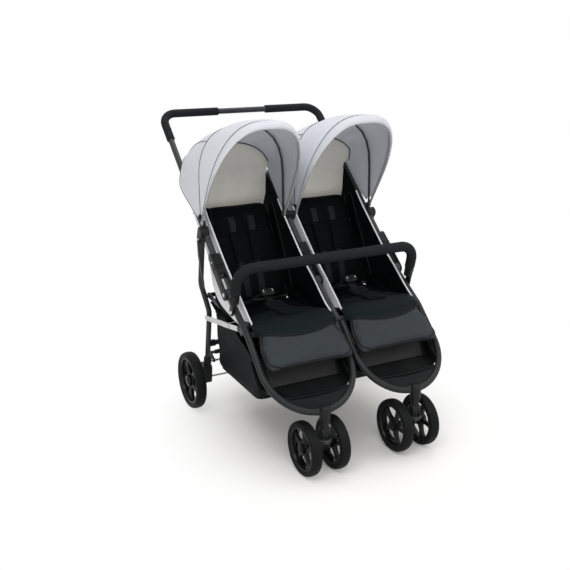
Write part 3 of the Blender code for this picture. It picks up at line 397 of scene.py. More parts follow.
def turned(name, profile, origin, axis, finish, steps=48, sharp=35):
    """A (radius, along) profile turned round an axis; radius 0 closes an end."""
    axis = Vector(axis).normalized()
    side = axis.orthogonal().normalized()
    other = axis.cross(side)
    verts, faces, rows = [], [], []
    for radius, along in profile:
        if radius < 1e-7:
            rows.append([len(verts)])
            verts.append(Vector(origin) + axis * along)
            continue
        rows.append([len(verts) + k for k in range(steps)])
        for k in range(steps):
            angle = 2 * math.pi * k / steps
            verts.append(Vector(origin) + axis * along + side * (radius * math.cos(angle))
                         + other * (radius * math.sin(angle)))
    for a, b in zip(rows, rows[1:]):
        for k in range(steps):
            m = (k + 1) % steps
            if len(a) == 1:
                faces.append((a[0], b[k], b[m]))
            elif len(b) == 1:
                faces.append((a[k], b[0], a[m]))
            else:
                faces.append((a[k], b[k], b[m], a[m]))
    return shape(name, verts, faces, finish, sharp)


def mirrored(profile):
    """A (radius, along) profile followed by its mirror image."""
    return profile + [(radius, -along) for radius, along in reversed(profile)]


def strap_outline(start, start_r, end, end_r, steps=14):
    """The side view of a strap with round ends, as (y, z) places."""
    run = end - start
    heading = math.atan2(run.y, run.x)
    lean = math.asin(max(-1.0, min(1.0, (start_r - end_r) / run.length)))
    outline = []
    for centre, radius, first, sweep in ((start, start_r, math.pi / 2 - lean, math.pi + 2 * lean),
                                         (end, end_r, -math.pi / 2 + lean, math.pi - 2 * lean)):
        for k in range(steps + 1):
            angle = heading + first + sweep * k / steps
            outline.append(centre + Vector((math.cos(angle), math.sin(angle))) * radius)
    return outline


def plate(name, outline, x_low, x_high, finish, edge=0.001):
    """A side-view outline made solid between two x places, its two faces' edges rounded over."""
    x_low, x_high = sorted((x_low, x_high))
    count = len(outline)
    verts = [at(x, place) for x in (x_low, x_high) for place in outline]
    faces = [tuple(reversed(range(count))), tuple(range(count, 2 * count))]
    faces += [(k, (k + 1) % count, count + (k + 1) % count, count + k) for k in range(count)]
    piece = shape(name, verts, faces, finish, 0)
    solid = bmesh.new()
    solid.from_mesh(piece.data)
    rims = [e for e in solid.edges if abs(e.verts[0].co.x - e.verts[1].co.x) < 1e-7]
    bmesh.ops.bevel(solid, geom=rims, offset=edge, segments=3, affect="EDGES", profile=0.5,
                    clamp_overlap=True)
    bmesh.ops.recalc_face_normals(solid, faces=solid.faces)
    solid.to_mesh(piece.data)
    solid.free()
    smoothed(piece.data, 40)
    return piece


def strap(name, start, start_r, end, end_r, x_low, x_high, finish, edge=0.001, steps=14):
    """A flat link with round ends, between two x places."""
    return plate(name, strap_outline(start, start_r, end, end_r, steps), x_low, x_high, finish, edge)


def cross_tube(name, half, place, radius, finish, sides=24):
    """A straight tube across the stroller."""
    return tube(name, [at(-half, place), at(half, place)], radius, finish, sides)


def settle(piece, body, node, slot):
    """A finished piece rides on its body and stands for its node, if it has one; the slot is not used."""
    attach(piece, body)
    if node:
        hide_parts(node)


handle_foot = 0.0663
handle_path = rounded([at(-side_at(handle_foot), on_upper(handle_foot)), at(-0.3225, HANDLE_TOP),
                       at(0.3225, HANDLE_TOP), at(side_at(handle_foot), on_upper(handle_foot))], 0.052)
settle(tube("handle_bow", handle_path, TUBE_R, gunmetal, 24), "handle_frame", "handle_tube", "frame_paint")


def hoop_point(x, down):
    return at(x, KNEE + HOOP_DOWN * down)


def hoop_path(sign):
    """A front tube: from the fold joint down over the knee, round under the footrest and up the middle."""
    outer = sign * SIDE_X
    path = rounded([at(outer, FOLD), at(outer, KNEE), hoop_point(outer, HOOP_BEND)], 0.12, 8)[:-1]
    for step in range(41):
        angle = math.pi * step / 40
        path.append(hoop_point(sign * (HOOP_X + HOOP_R * math.cos(angle)),
                               HOOP_BEND + HOOP_R * math.sin(angle)))
    path.append(hoop_point(sign * 0.0125, TUBE_R + 0.0003))
    return path


LINK_REAR = Vector((0.152, 0.352))
LINK_FRONT = Vector((-0.190, 0.414))


def hub(x):
    """The flattened eye at a lower tube's end, bored for the fold pin."""
    eye = mirrored([(0.0046, -0.0105), (0.0170, -0.0105), (0.0185, -0.009)])
    return turned("eye", eye + eye[:1], at(x, FOLD), ACROSS, gunmetal)


down_frame = (KNEE - FOLD).normalized()
lug_root = FOLD + down_frame * (LINK_FRONT - FOLD).dot(down_frame)
for side, sign in SIDES:
    lug = strap("lug", lug_root, 0.0115, LINK_FRONT, 0.0105, sign * 0.3111, sign * SIDE_X, black_coat)
    bar = tube("bar", hoop_path(sign), TUBE_R, black_coat, 24)
    settle(gather("front_tube_" + side, [bar, lug, hub(sign * SIDE_X)]), "front_frame", "front_hoop_" + side,
           "frame_paint")

cross = cross_tube("bar", 0.3167, KNEE, TUBE_R, black_coat)
stem = tube("stem", [at(0, FOLD), at(0, KNEE)], TUBE_R, gunmetal, 24)
weld = turned("weld", [(0.0104, 0.0175), (0.0128, 0.0150), (0.0122, 0.0090), (0.0104, 0.0060)], at(0, KNEE),
              at(0, FOLD - KNEE), gunmetal, 24)
settle(gather("front_cross_bar", [cross, stem, weld, hub(0)]), "front_frame", "front_cross_tube",
       "frame_paint")

CANOPY_PIN = Vector((0.098, 0.712))
cross_place = on_upper(0.478)
cross_reach = side_at(0.478) - TUBE_R - 0.0006
bar = cross_tube("bar", cross_reach, cross_place, TUBE_R, gunmetal)
stem = tube("stem", [at(0, on_upper(handle_foot)), at(0, cross_place)], TUBE_R, gunmetal, 24)
clip_foot = FOLD + UP_FRAME * (CANOPY_PIN - FOLD).dot(UP_FRAME)
clip = strap("clip", clip_foot, 0.0135, CANOPY_PIN, 0.009, -0.0208, 0.0208, black_nylon, 0.003)
pin = turned("pin", mirrored([(0, -0.0301), (0.0027, -0.0301)]), at(0, CANOPY_PIN), ACROSS, bright_zinc, 16)
ends = [turned("plug", [(0, 0.0), (0.0106, 0.0), (0.0118, 0.003), (0.0118, 0.022), (0.0104, 0.024)],
               at(sign * cross_reach, cross_place), (-sign, 0, 0), black_nylon, 24) for side, sign in SIDES]
settle(gather("upper_cross_bar", [bar, stem, clip, pin] + ends), "handle_frame", "upper_cross_tube",
       "frame_paint")

LEG_PIN = Vector((0.105, 0.655))
AXLE = Vector((0.192, 0.1047))
LEG_X = 0.333
LEG_R = 0.0095


def leg_at(x, z):
    """The place on a rear leg's line at a height."""
    return Vector((x, LEG_PIN.x + (AXLE.x - LEG_PIN.x) * (LEG_PIN.y - z) / (LEG_PIN.y - AXLE.y), z))


for side, sign in SIDES:
    places = [(LEG_X, 0.661), (LEG_X, 0.490), (0.297, 0.375), (0.297, 0.160)]
    leg = tube("leg", rounded([leg_at(sign * x, z) for x, z in places], 0.12, 8), LEG_R, gunmetal, 20)
    bolt = turned("bolt", mirrored([(0, -0.0190), (0.0040, -0.0190)]), at(sign * LEG_X, LEG_PIN), ACROSS,
                  bright_zinc, 20)
    settle(gather("rear_leg_tube_" + side, [leg, bolt]), "rear_frame", "rear_leg_" + side, "frame_paint")

LOW_CROSS = leg_at(0.0, 0.245).yz
low_reach = 0.2872
low_cross = cross_tube("bar", low_reach, LOW_CROSS, LEG_R, black_coat, 20)
collars = [turned("plug", [(0.0096, -0.001), (0.0125, 0.0), (0.0125, 0.016), (0.0096, 0.018)],
                  at(sign * low_reach, LOW_CROSS), (-sign, 0, 0), black_nylon, 24) for side, sign in SIDES]
settle(gather("lower_cross_bar", [low_cross] + collars), "rear_frame", "rear_cross_tube", "frame_paint")

BACK_FOOT = Vector((0.046, 0.428))
seat_tube = leg_at(0.0, 0.440).yz
seat_reach = LEG_X - 0.036 * (0.490 - seat_tube.y) / 0.115 - LEG_R - 0.0030
bar = cross_tube("bar", seat_reach, seat_tube, 0.008, black_coat, 20)
rod = cross_tube("rod", 0.3030, BACK_FOOT, 0.005, black_coat, 16)
arms = [strap("arm", seat_tube, 0.010, BACK_FOOT, 0.008, sign * 0.299, sign * 0.303, gunmetal, 0.0008)
        for side, sign in SIDES]
settle(gather("seat_carrier", [bar, rod] + arms), "rear_frame", "seat_rear_frame", "frame_paint")

BUMPER_X = 0.336
BUMPER_TOP = Vector((-0.188, 0.622))
core_foot = Vector((-0.162, 0.5146))


def bumper_line(foot):
    """The bumper bar's centre line, both its legs starting at a foot."""
    return rounded([at(-BUMPER_X, foot), at(-BUMPER_X, BUMPER_TOP), at(BUMPER_X, BUMPER_TOP),
                    at(BUMPER_X, foot)], 0.055)


settle(tube("bumper_core", bumper_line(core_foot), 0.009, gunmetal, 20), "bumper", "bumper_tube",
       "frame_paint")


# HANDLE GRIPS AND BUMPER PAD
# Sleeves of charcoal closed-cell foam pushed over the handle and round the bumper bar. The foam is matt and
# faintly pitted, its cut ends are rolled over, and the bumper foam has a moulded parting line.
foam = hard_finish("charcoal_foam", (0.0065, 0.0085, 0.0095), (0.0115, 0.0140, 0.0152), (0.03, 0.033, 0.035),
                   (0.72, 0.86), cells=1100.0, depth=0.00022, specular=0.12, wear=0.2, dusty=0.04)


def refined(path, step):
    """The same path with points no further apart than step."""
    out = [path[0]]
    for a, b in zip(path, path[1:]):
        count = max(1, math.ceil((b - a).length / step))
        out += [a.lerp(b, k / count) for k in range(1, count + 1)]
    return out


def foam_sleeve(name, path, radius, core):
    """A foam sleeve whose cut ends roll over towards the tube inside."""
    path = refined(path, 0.008)
    first = (path[1] - path[0]).normalized()
    last = (path[-1] - path[-2]).normalized()
    roll = [(0.0, core), (0.0, radius - 0.0022), (0.0008, radius - 0.0009), (0.0024, radius)]
    head = [path[0] + first * d for d, r in roll]
    tail = [path[-1] - last * d for d, r in reversed(roll)]
    head[0] -= first * 0.00005
    tail[-1] += last * 0.00005
    widths = [r for d, r in roll] + [radius] * (len(path) - 2) + [r for d, r in reversed(roll)]
    return tube(name, head + path[1:-1] + tail, radius, foam, 28, [w / radius for w in widths])


for side, sign in SIDES:
    bend = handle_path[1:16] if sign < 0 else list(reversed(handle_path[16:31]))
    low = bend[0] + (at(sign * SIDE_X, FOLD) - bend[0]).normalized() * 0.075
    inner_end = Vector((sign * 0.099, bend[-1].y, bend[-1].z))
    grip = foam_sleeve("handle_foam_" + side, [low] + bend + [inner_end], 0.0147, 0.0107)
    settle(grip, "handle_frame", "handle_grip_" + side, "grip_foam")

BUMPER_PIN = Vector((-0.152, 0.4735))
BAR_UP = (BUMPER_TOP - BUMPER_PIN).normalized()
bumper_path = bumper_line(BUMPER_PIN + BAR_UP * 0.0663)
pad = foam_sleeve("bumper_pad", bumper_path, 0.0175, 0.0093)
forward = at(0, Vector((-BAR_UP.y, BAR_UP.x)))
lines = [tube("parting", [p + forward * (s * 0.0174) for p in bumper_path[1:-1]], 0.0006, foam, 6)
         for s in (1, -1)]
settle(gather("bumper_pad_sleeve", [pad] + lines), "bumper", "bumper_foam", "grip_foam")

for side, sign in SIDES:
    x = sign * BUMPER_X
    cup = turned("cup", [(0.0, 0.0308), (0.0120, 0.0310), (0.0150, 0.0335), (0.0155, 0.037),
                         (0.0155, 0.061), (0.0163, 0.0625), (0.0163, 0.0655), (0.0150, 0.066),
                         (0.0095, 0.066), (0.0095, 0.0420), (0.0, 0.0418)], at(x, BUMPER_PIN), at(0, BAR_UP),
                 black_nylon, 32)
    ear_x = sign * 0.3418
    ear = strap("ear", BUMPER_PIN, 0.012, BUMPER_PIN + BAR_UP * 0.045, 0.012, ear_x - 0.0035, ear_x + 0.0035,
                black_nylon, 0.0012)
    button = turned("button", [(0.0, 0.0062), (0.0030, 0.0060), (0.0056, 0.0046), (0.0062, 0.0034),
                               (0.0062, 0.0)], at(ear_x, BUMPER_PIN), (sign, 0, 0), bright_zinc, 24)
    latch = turned("latch", [(0.0, 0.0192), (0.0045, 0.0188), (0.0058, 0.0172), (0.0060, 0.0120)],
                   at(x, BUMPER_PIN + BAR_UP * 0.050), (sign, 0, 0), black_nylon, 24)
    settle(gather("bumper_cup_" + side, [cup, ear, button, latch]), "bumper", "bumper_socket_" + side,
           "black_plastic")


# FOLD JOINTS AND LEG BRACKETS
# Black glass-filled nylon mouldings on the handle frame: two cheeks beside the lower tube's eye, joined by
# a sleeve over the upper tube and held by a bright rivet. The leg brackets hang the rear legs from it and
# carry the canopy.
rivet_tree = new_tree("rivet_heads", [("Head", "Object")], {
    "copies": ("GeometryNodeInstanceOnPoints", {}), "head": ("GeometryNodeObjectInfo", {}),
    "turn": ("FunctionNodeAlignRotationToVector", {"axis": "Z"}),
    "normal": ("GeometryNodeInputNamedAttribute", {"data_type": "FLOAT_VECTOR", "Name": "facing"})},
    "given.Geometry > copies.Points, given.Head > head.Object, head.Geometry > copies.Instance, "
    "normal.Attribute > turn.Vector, turn.Rotation > copies.Rotation, copies.Instances > real.Geometry")


def rivets(name, spots, radius, height):
    """Domed bright rivet heads; each spot is a place and the way it faces."""
    dome = [(1, 0.0), (1, 0.35), (0.86, 0.72), (0.5, 0.96), (0.3, 1), (0.26, 0.8), (0.0, 0.78)]
    head = turned("rivet_head", [(radius * out, height * up) for out, up in dome], (0, 0, 0), (0, 0, 1),
                  bright_zinc, 20)
    seed = seed_of([place for place, way in spots], False)
    ways = seed.data.attributes.new("facing", "FLOAT_VECTOR", "POINT")
    ways.data.foreach_set("vector", [c for place, way in spots for c in way])
    made = grown(name, seed, rivet_tree, {"Head": head, "Finish": bright_zinc})
    bpy.data.objects.remove(head)
    return made


def both_faces(x, out, place):
    """Two rivet spots, one on each side of x."""
    return [(at(x + s * out, place), (s, 0, 0)) for s in (-1, 1)]


def fold_housing(name, x):
    """Two cheeks, the sleeve between them, a double band near its end and rivets on both faces."""
    inner, outer = 0.0111, 0.0166
    far = on_upper(0.145)
    parts = [strap("cheek", FOLD, 0.0195, far, 0.0155, x + s * inner, x + s * outer, black_nylon, 0.0022, 20)
             for s in (-1, 1)]
    parts.append(strap("core", on_upper(0.085), 0.0172, far, 0.0150, x - inner - 0.0002, x + inner + 0.0002,
                       black_nylon, 0.0005, 20))
    lean = Vector((-UP_FRAME.y, UP_FRAME.x))
    for along in (0.098, 0.108):
        corners = [at(x + s * (outer + 0.0004), on_upper(along) + lean * (t * 0.0180))
                   for s, t in ((-1, -1), (1, -1), (1, 1), (-1, 1), (-1, -1), (1, -1))]
        parts.append(tube("band", rounded(corners, 0.0045, 5)[3:-2], 0.0011, black_nylon, 8))
    parts.append(rivets("heads", both_faces(x, outer - 0.0003, FOLD), 0.0068, 0.0028))
    parts.append(rivets("heads", both_faces(x, outer - 0.0003, on_upper(0.128)), 0.0036, 0.0018))
    return gather(name, parts)


for side, x in (("left", -SIDE_X), ("centre", 0.0), ("right", SIDE_X)):
    settle(fold_housing("fold_housing_" + side, x), "handle_frame", "fold_joint_" + side, "black_plastic")

hook_line = [(0.088, 0.652), (0.104, 0.654), (0.099, 0.600), (0.070, 0.520), (0.060, 0.496), (0.046, 0.490),
             (0.050, 0.500), (0.056, 0.525), (0.082, 0.602)]
leg_seat = on_upper((LEG_PIN - FOLD).dot(UP_FRAME))
cheek_top = leg_seat + Vector((0.004, 0.008))
for side, sign in SIDES:
    x = sign * LEG_X
    cheeks = [strap("cheek", LEG_PIN, 0.0135, cheek_top, 0.0185, x + s * 0.0101, x + s * 0.0156, black_nylon,
                    0.0020, 20) for s in (-1, 1)]
    top = strap("saddle", leg_seat + Vector((0.002, 0.004)), 0.0178, cheek_top, 0.0185, x - 0.0103,
                x + 0.0103, black_nylon, 0.0004, 20)
    ear_x = sign * 0.3298
    ear = strap("ear", leg_seat, 0.013, CANOPY_PIN, 0.009, ear_x, ear_x - sign * 0.006, black_nylon, 0.0012)
    knob = turned("knob", [(0.0, 0.0078), (0.0027, 0.0078), (0.0027, -0.002), (0.0, -0.002)],
                  at(ear_x, CANOPY_PIN), (sign, 0, 0), bright_zinc, 16)
    head = rivets("heads", both_faces(x, 0.0150, LEG_PIN), 0.0062, 0.0030)
    settle(gather("leg_hanger_" + side, cheeks + [top, ear, knob, head]), "handle_frame",
           "leg_bracket_" + side, "black_plastic")
    hook_x = x + sign * 0.0188
    hook = plate("fold_lock_hook_" + side, hook_line, hook_x - 0.0016, hook_x + 0.0016, black_nylon, 0.0006)
    settle(hook, "handle_frame", [], "black_plastic")


# WHEELS
# Moulded black nylon rims with five flared spokes and a deep barrel, carrying solid black tyres whose crown
# has three shallow grooves. The rear pair turns on the axle, the front ones in pairs beside the forks.
rubber = hard_finish("tyre_rubber_face", (0.0036, 0.0040, 0.0042), (0.0072, 0.0076, 0.0080),
                     (0.025, 0.025, 0.025), (0.50, 0.66), cells=700.0, depth=0.0001, specular=0.09,
                     dusty=0.05)
rim_nylon = hard_finish("gloss_rim_nylon", (0.0030, 0.0034, 0.0038), (0.0060, 0.0064, 0.0068),
                        (0.03, 0.03, 0.032), (0.14, 0.24), cells=1500.0, depth=0.00002, specular=0.16,
                        wear=0.3, dusty=0.02)

spoke_tree = new_tree("spokes_round", [("Spoke", "Object"), ("Count", "Int")], {
    "points": ("GeometryNodeMeshLine", {"Offset": (0, 0, 0)}), "which": ("GeometryNodeInputIndex", {}),
    "share": ("ShaderNodeMath", {"operation": "DIVIDE"}), "spin": ("ShaderNodeCombineXYZ", {}),
    "swing": ("ShaderNodeMath", {"operation": "MULTIPLY", 1: 2 * math.pi}),
    "one": ("GeometryNodeObjectInfo", {}), "copies": ("GeometryNodeInstanceOnPoints", {})},
    "given.Count > points.Count, which.0 > share.0, given.Count > share.1, share.0 > swing.0, "
    "swing.0 > spin.X, given.Spoke > one.Object, points.Mesh > copies.Points, "
    "one.Geometry > copies.Instance, spin.Vector > copies.Rotation, copies.Instances > real.Geometry")


def ring_faces(rows, around):
    """The faces of a closed form through rows + 1 rings of points, its two ends capped."""
    faces = []
    for low in range(0, rows * around, around):
        for k in range(around):
            m = (k + 1) % around
            faces.append((low + k, low + m, low + around + m, low + around + k))
    return faces + [tuple(reversed(range(around))), tuple(range(rows * around, (rows + 1) * around))]


def spoke(reach_low, reach_high, hub_wide, waist, rim_wide, thick):
    """One spoke along +Z: flared at both ends, with chamfered edges and a raised rib down its middle."""
    verts = []
    for row in range(13):
        t = row / 12
        if t < 0.35:
            flare = hub_wide + (waist - hub_wide) * t / 0.35
        else:
            flare = waist + (rim_wide - waist) * max(0.0, (t - 0.45) / 0.55) ** 2.2
        deep = thick * (1 - 0.25 * t)
        front = mirrored([(0.55, 1), (0.80, 0.82), (0.80, 0.30), (1, 0.16)])
        verts += [(deep * out, flare * wide, reach_low + (reach_high - reach_low) * t)
                  for out, wide in front + [(-out, wide) for out, wide in reversed(front)]]
    return shape("spoke", verts, ring_faces(12, 16), rim_nylon, 30)


SPOKES = 5


def wheel(name, centre, radius, width, hub_r, bore_r, rubber_deep, body, nodes, outward):
    """Tyre and rim as two pieces, each standing for its own node."""
    half = width / 2
    bed = radius - rubber_deep
    crown = []
    for step in range(33):
        a = math.pi * step / 32
        x = -half * math.cos(a)
        r = bed + rubber_deep * 0.42 + (rubber_deep * 0.58) * math.sin(a) ** 0.62
        for groove in (-0.34, 0.0, 0.34):
            r -= 0.0008 * math.exp(-((x / half - groove) / 0.05) ** 2)
        crown.append((r, x))
    lip = half * 0.80
    crown = [(bed, -lip), (bed + 0.001, -half * 0.90)] + crown + [(bed + 0.001, half * 0.90), (bed, lip)]
    rim_out = bed - 0.0003
    low_side = [(0.0, -lip), (0.0015, -lip - 0.0012), (0.0045, -lip - 0.0006), (0.0065, -lip * 0.86)]
    barrel = low_side + [(0.0085, 0.0)] + [(deep, -x) for deep, x in reversed(low_side)] + low_side[:1]
    ring = turned("barrel", [(rim_out - deep, x) for deep, x in barrel], (0, 0, 0), ACROSS, rim_nylon, 96)
    hub_half = half * 0.95
    core = mirrored([(bore_r, -hub_half), (hub_r * 0.80, -hub_half), (hub_r * 0.92, -hub_half + 0.0015),
                     (hub_r, -half * 0.45)])
    centre_hub = turned("hub", core + core[:1], (0, 0, 0), ACROSS, rim_nylon, 48)
    one = spoke(hub_r * 0.80, rim_out - 0.0058, hub_r * 0.62, hub_r * 0.40, hub_r * 0.95, half * 0.50)
    spokes = grown("spokes", seed_of([(0, 0, 0)]), spoke_tree,
                   {"Spoke": one, "Count": SPOKES, "Finish": rim_nylon}, 30)
    bpy.data.objects.remove(one)
    cap = turned("cap", [(0.0, 0.0036), (hub_r * 0.30, 0.0034), (hub_r * 0.55, 0.0022), (hub_r * 0.66, 0.0),
                         (hub_r * 0.66, -0.002)], (outward * hub_half, 0, 0), (outward, 0, 0), rim_nylon, 40)
    rim = gather(name + "_rim_moulding", [ring, centre_hub, spokes, cap])
    tyre = turned(name + "_tyre_band", crown + crown[:1], (0, 0, 0), ACROSS, rubber, 96)
    for piece, node, slot in ((rim, nodes + "_rim", "black_plastic"), (tyre, nodes + "_tyre", "tyre_rubber")):
        piece.data.transform(Matrix.Translation(centre) @ Matrix.Rotation(0.3 * len(name), 4, "X"))
        settle(piece, body, node, slot)


REAR_X, REAR_WIDE = 0.356, 0.0385
FORE_R = 0.0885
for side, sign in SIDES:
    wheel("back_wheel_" + side, at(sign * REAR_X, AXLE), AXLE.y, REAR_WIDE, 0.022, 0.0048, 0.0205,
          "wheel_rear_" + side, "rear_wheel_" + side, sign)
    for place, way in (("outer", sign), ("inner", -sign)):
        own = side + "_" + place
        wheel("fore_wheel_" + own, Vector((sign * HOOP_X + way * 0.051, -0.4213, FORE_R)), FORE_R, 0.035,
              0.018, 0.0058, 0.018, "wheel_front_" + own, "front_wheel_" + own, way)

# Rear axle, its brackets and the foot brake.
axle_half = REAR_X + REAR_WIDE / 2
rod = turned("rear_axle_rod", mirrored([(0, -axle_half - 0.002), (0.0040, -axle_half - 0.001)]), at(0, AXLE),
             ACROSS, bright_zinc, 24)
settle(rod, "rear_frame", "rear_axle", "bare_steel")
top_y = leg_at(0, 0.158).y
block_line = [AXLE + Vector(p) for p in ((-0.020, -0.013), (-0.015, -0.017), (0.015, -0.017), (0.020, -0.013),
                                         (0.021, 0.018))]
block_line += [(top_y + 0.0170, 0.148), (top_y + 0.0150, 0.158), (top_y - 0.0150, 0.158),
               (top_y - 0.0180, 0.148), AXLE + Vector((-0.024, 0.018))]
for side, sign in SIDES:
    block = plate("block", block_line, sign * 0.284, sign * 0.331, black_nylon, 0.0035)
    foot = leg_at(sign * 0.297, 0.156)
    socket = turned("socket", [(0.0098, 0.0), (0.0140, 0.0), (0.0140, 0.030), (0.0128, 0.034),
                               (0.0098, 0.034)], foot, leg_at(sign * 0.297, 0.2) - foot, black_nylon, 28)
    screws = rivets("screws", [(Vector((sign * 0.284, AXLE.x, z)), (-sign, 0, 0)) for z in (0.118, 0.142)],
                    0.0034, 0.0014)
    settle(gather("wheel_block_" + side, [block, socket, screws]), "rear_frame", "wheel_bracket_" + side,
           "black_plastic")

BRAKE_PIN = Vector((0.226, 0.150))
BRAKE_TREAD = Vector((0.262, 0.167))
parts = [cross_tube("rod", 0.3357, BRAKE_PIN, 0.005, bright_zinc, 16),
         cross_tube("tread", 0.262, BRAKE_TREAD, 0.006, gunmetal, 16)]
for side, sign in SIDES:
    parts.append(strap("arm", BRAKE_PIN, 0.0075, BRAKE_TREAD, 0.0075, sign * 0.250, sign * 0.258, black_nylon,
                       0.0012))
    parts.append(strap("dog", BRAKE_PIN, 0.008, BRAKE_PIN + Vector((-0.014, -0.026)), 0.005, sign * 0.3317,
                       sign * 0.3357, black_nylon, 0.0008))
    parts.append(turned("pedal", [(0.0061, -0.030), (0.0084, -0.028), (0.0088, 0.0), (0.0084, 0.028),
                                  (0.0061, 0.030)], at(sign * 0.205, BRAKE_TREAD), ACROSS, black_nylon, 24))
settle(gather("foot_brake", parts), "brake", "brake_bar", "bare_steel")


# FRONT CASTERS
# Black nylon swivel castings: a cup clamped round the bottom of the hoop, a stem turning in it,
# a crescent-shaped swivel catch, and a swept arm that carries a pair of wheels behind the stem.
CASTER_Y = -0.4565
HOOP_LOW = (KNEE + HOOP_DOWN * (HOOP_BEND + HOOP_R)).y
stem_top = HOOP_LOW - 0.0363
fork_axle = Vector((CASTER_Y + 0.0352, FORE_R))


def swivel_catch(x):
    """A crescent round the front of the stem, thickest at its middle."""
    verts = []
    for step in range(25):
        angle = math.pi + math.pi * (step / 24)
        lift = 0.128 + 0.004 * math.sin(angle)
        reach = 0.0195 + 0.0025 * abs(math.sin(angle))
        fat = 0.0030 + 0.0040 * abs(math.sin(angle)) ** 1.5
        for dr, dz in ((-0.004, -fat), (0.0012, -fat * 0.8), (0.0022, 0.0), (0.0008, fat),
                       (-0.004, fat * 0.9)):
            verts.append((x + (reach + dr) * math.cos(angle), CASTER_Y + (reach + dr) * math.sin(angle),
                          lift + dz))
    return shape("catch", verts, ring_faces(24, 5), gunmetal, 50)


for side, sign in SIDES:
    x = sign * HOOP_X
    cup = turned("caster_cup_" + side, [(0.0, 0.019), (0.0120, 0.019), (0.0160, 0.0165), (0.0175, 0.012),
                                        (0.0175, -0.030), (0.0158, -0.0355), (0.0, -0.0358)],
                 (x, CASTER_Y, HOOP_LOW), (0, 0, 1), black_nylon, 40)
    settle(cup, "front_frame", "caster_housing_" + side, "black_plastic")
    stem = turned("stem", [(0.0, stem_top), (0.0112, stem_top), (0.0125, stem_top - 0.002), (0.0118, 0.160),
                           (0.0132, 0.148), (0.0155, 0.140), (0.0, 0.138)], (x, CASTER_Y, 0), (0, 0, 1),
                  black_nylon, 32)
    arm = strap("arm", Vector((CASTER_Y, 0.152)), 0.0165, fork_axle, 0.0225, x - 0.017, x + 0.017,
                black_nylon, 0.0055, 24)
    web = strap("web", Vector((CASTER_Y + 0.006, 0.140)), 0.009, fork_axle + Vector((-0.004, 0.006)), 0.013,
                x - 0.0178, x + 0.0178, black_nylon, 0.0008, 16)
    shaft = turned("shaft", mirrored([(0, -0.0680), (0.0050, -0.0675)]), at(x, fork_axle), ACROSS,
                   bright_zinc, 20)
    settle(gather("caster_arm_" + side, [stem, arm, web, shaft, swivel_catch(x)]), "caster_" + side,
           "caster_fork_" + side, "black_plastic")


# FOOTRESTS
# One black nylon moulding in each hoop: a bowed apron at the bottom, a ledge for the feet with a raised
# front lip, a sloping panel behind it and two cheeks that clip on to the tube.
footrest_nylon = hard_finish("footrest_nylon", (0.0042, 0.0048, 0.0052), (0.0085, 0.0092, 0.0098),
                             (0.04, 0.04, 0.042), (0.26, 0.40), cells=1800.0, depth=0.00008, specular=0.09,
                             dusty=0.02)
footrest_panel = hard_finish("footrest_panel_face", (0.012, 0.0105, 0.0108), (0.020, 0.0180, 0.0185),
                             (0.04, 0.04, 0.042), (0.40, 0.55), cells=1800.0, depth=0.0001, specular=0.2,
                             dusty=0.10)
CLEAR_R = HOOP_R - TUBE_R - 0.0004
LEDGE_DOWN, APRON_DOWN = 0.231, 0.2745
ledge_front = KNEE + HOOP_DOWN * LEDGE_DOWN
ledge_back = ledge_front + Vector((0.074, 0.006))
panel_top = KNEE + HOOP_DOWN * 0.070 + Vector((0.018, -0.022))


def inner_half(down):
    """Half the inner width of a hoop at a distance down its plane."""
    return math.sqrt(CLEAR_R ** 2 - max(0.0, down - HOOP_BEND) ** 2)


def grid_faces(rows, columns):
    """The faces between rows + 1 rows of columns + 1 points."""
    wide = columns + 1
    return [(i * wide + j, i * wide + j + 1, (i + 1) * wide + j + 1, (i + 1) * wide + j)
            for i in range(rows) for j in range(columns)]


def step_row(cx, down, place, zone):
    """One row of the moulding's points: zone 1 is the apron, 0 the ledge and -1 the panel. In the hoop's
    plane a row ends at the tube, and further off it reaches in behind it."""
    off_plane = abs((place - KNEE).x * HOOP_DOWN.y - (place - KNEE).y * HOOP_DOWN.x)
    near_tube = 0.0103 + 0.0021 * min(1.0, off_plane / 0.004)
    reach = HOOP_R - math.sqrt(max(0.0, near_tube ** 2 - off_plane ** 2))
    reach += 0.0125 * min(1.0, max(0.0, off_plane - near_tube) / 0.010)
    half = math.sqrt(max(0.0, reach ** 2 - max(0.0, down - HOOP_BEND) ** 2))
    row = []
    for c in range(STEP_COLUMNS + 1):
        u = 2 * c / STEP_COLUMNS - 1
        bulge = 1 - u * u
        y, z = place
        if zone > 0:
            y -= 0.006 * bulge * math.sin(math.pi * max(0.0, min(1, (APRON_DOWN - down) / 0.044)))
            z -= 0.004 * bulge * (APRON_DOWN - down) / 0.0435
        elif zone == 0:
            front = max(0.0, 1 - (place.x - ledge_front.x) / 0.02)
            z += 0.0022 * math.exp(-((place.x - ledge_front.x) / 0.004) ** 2) - 0.004 * bulge * front
            y -= 0.006 * bulge * front
            z += 0.012 * max(0.0, abs(u) - 0.86) / 0.14 * (1 - front)
        else:
            y += 0.004 * bulge - 0.010 * max(0.0, abs(u) - 0.80) / 0.20
        row.append((cx + half * math.copysign(abs(u) ** 0.9, u), y, z))
    return row


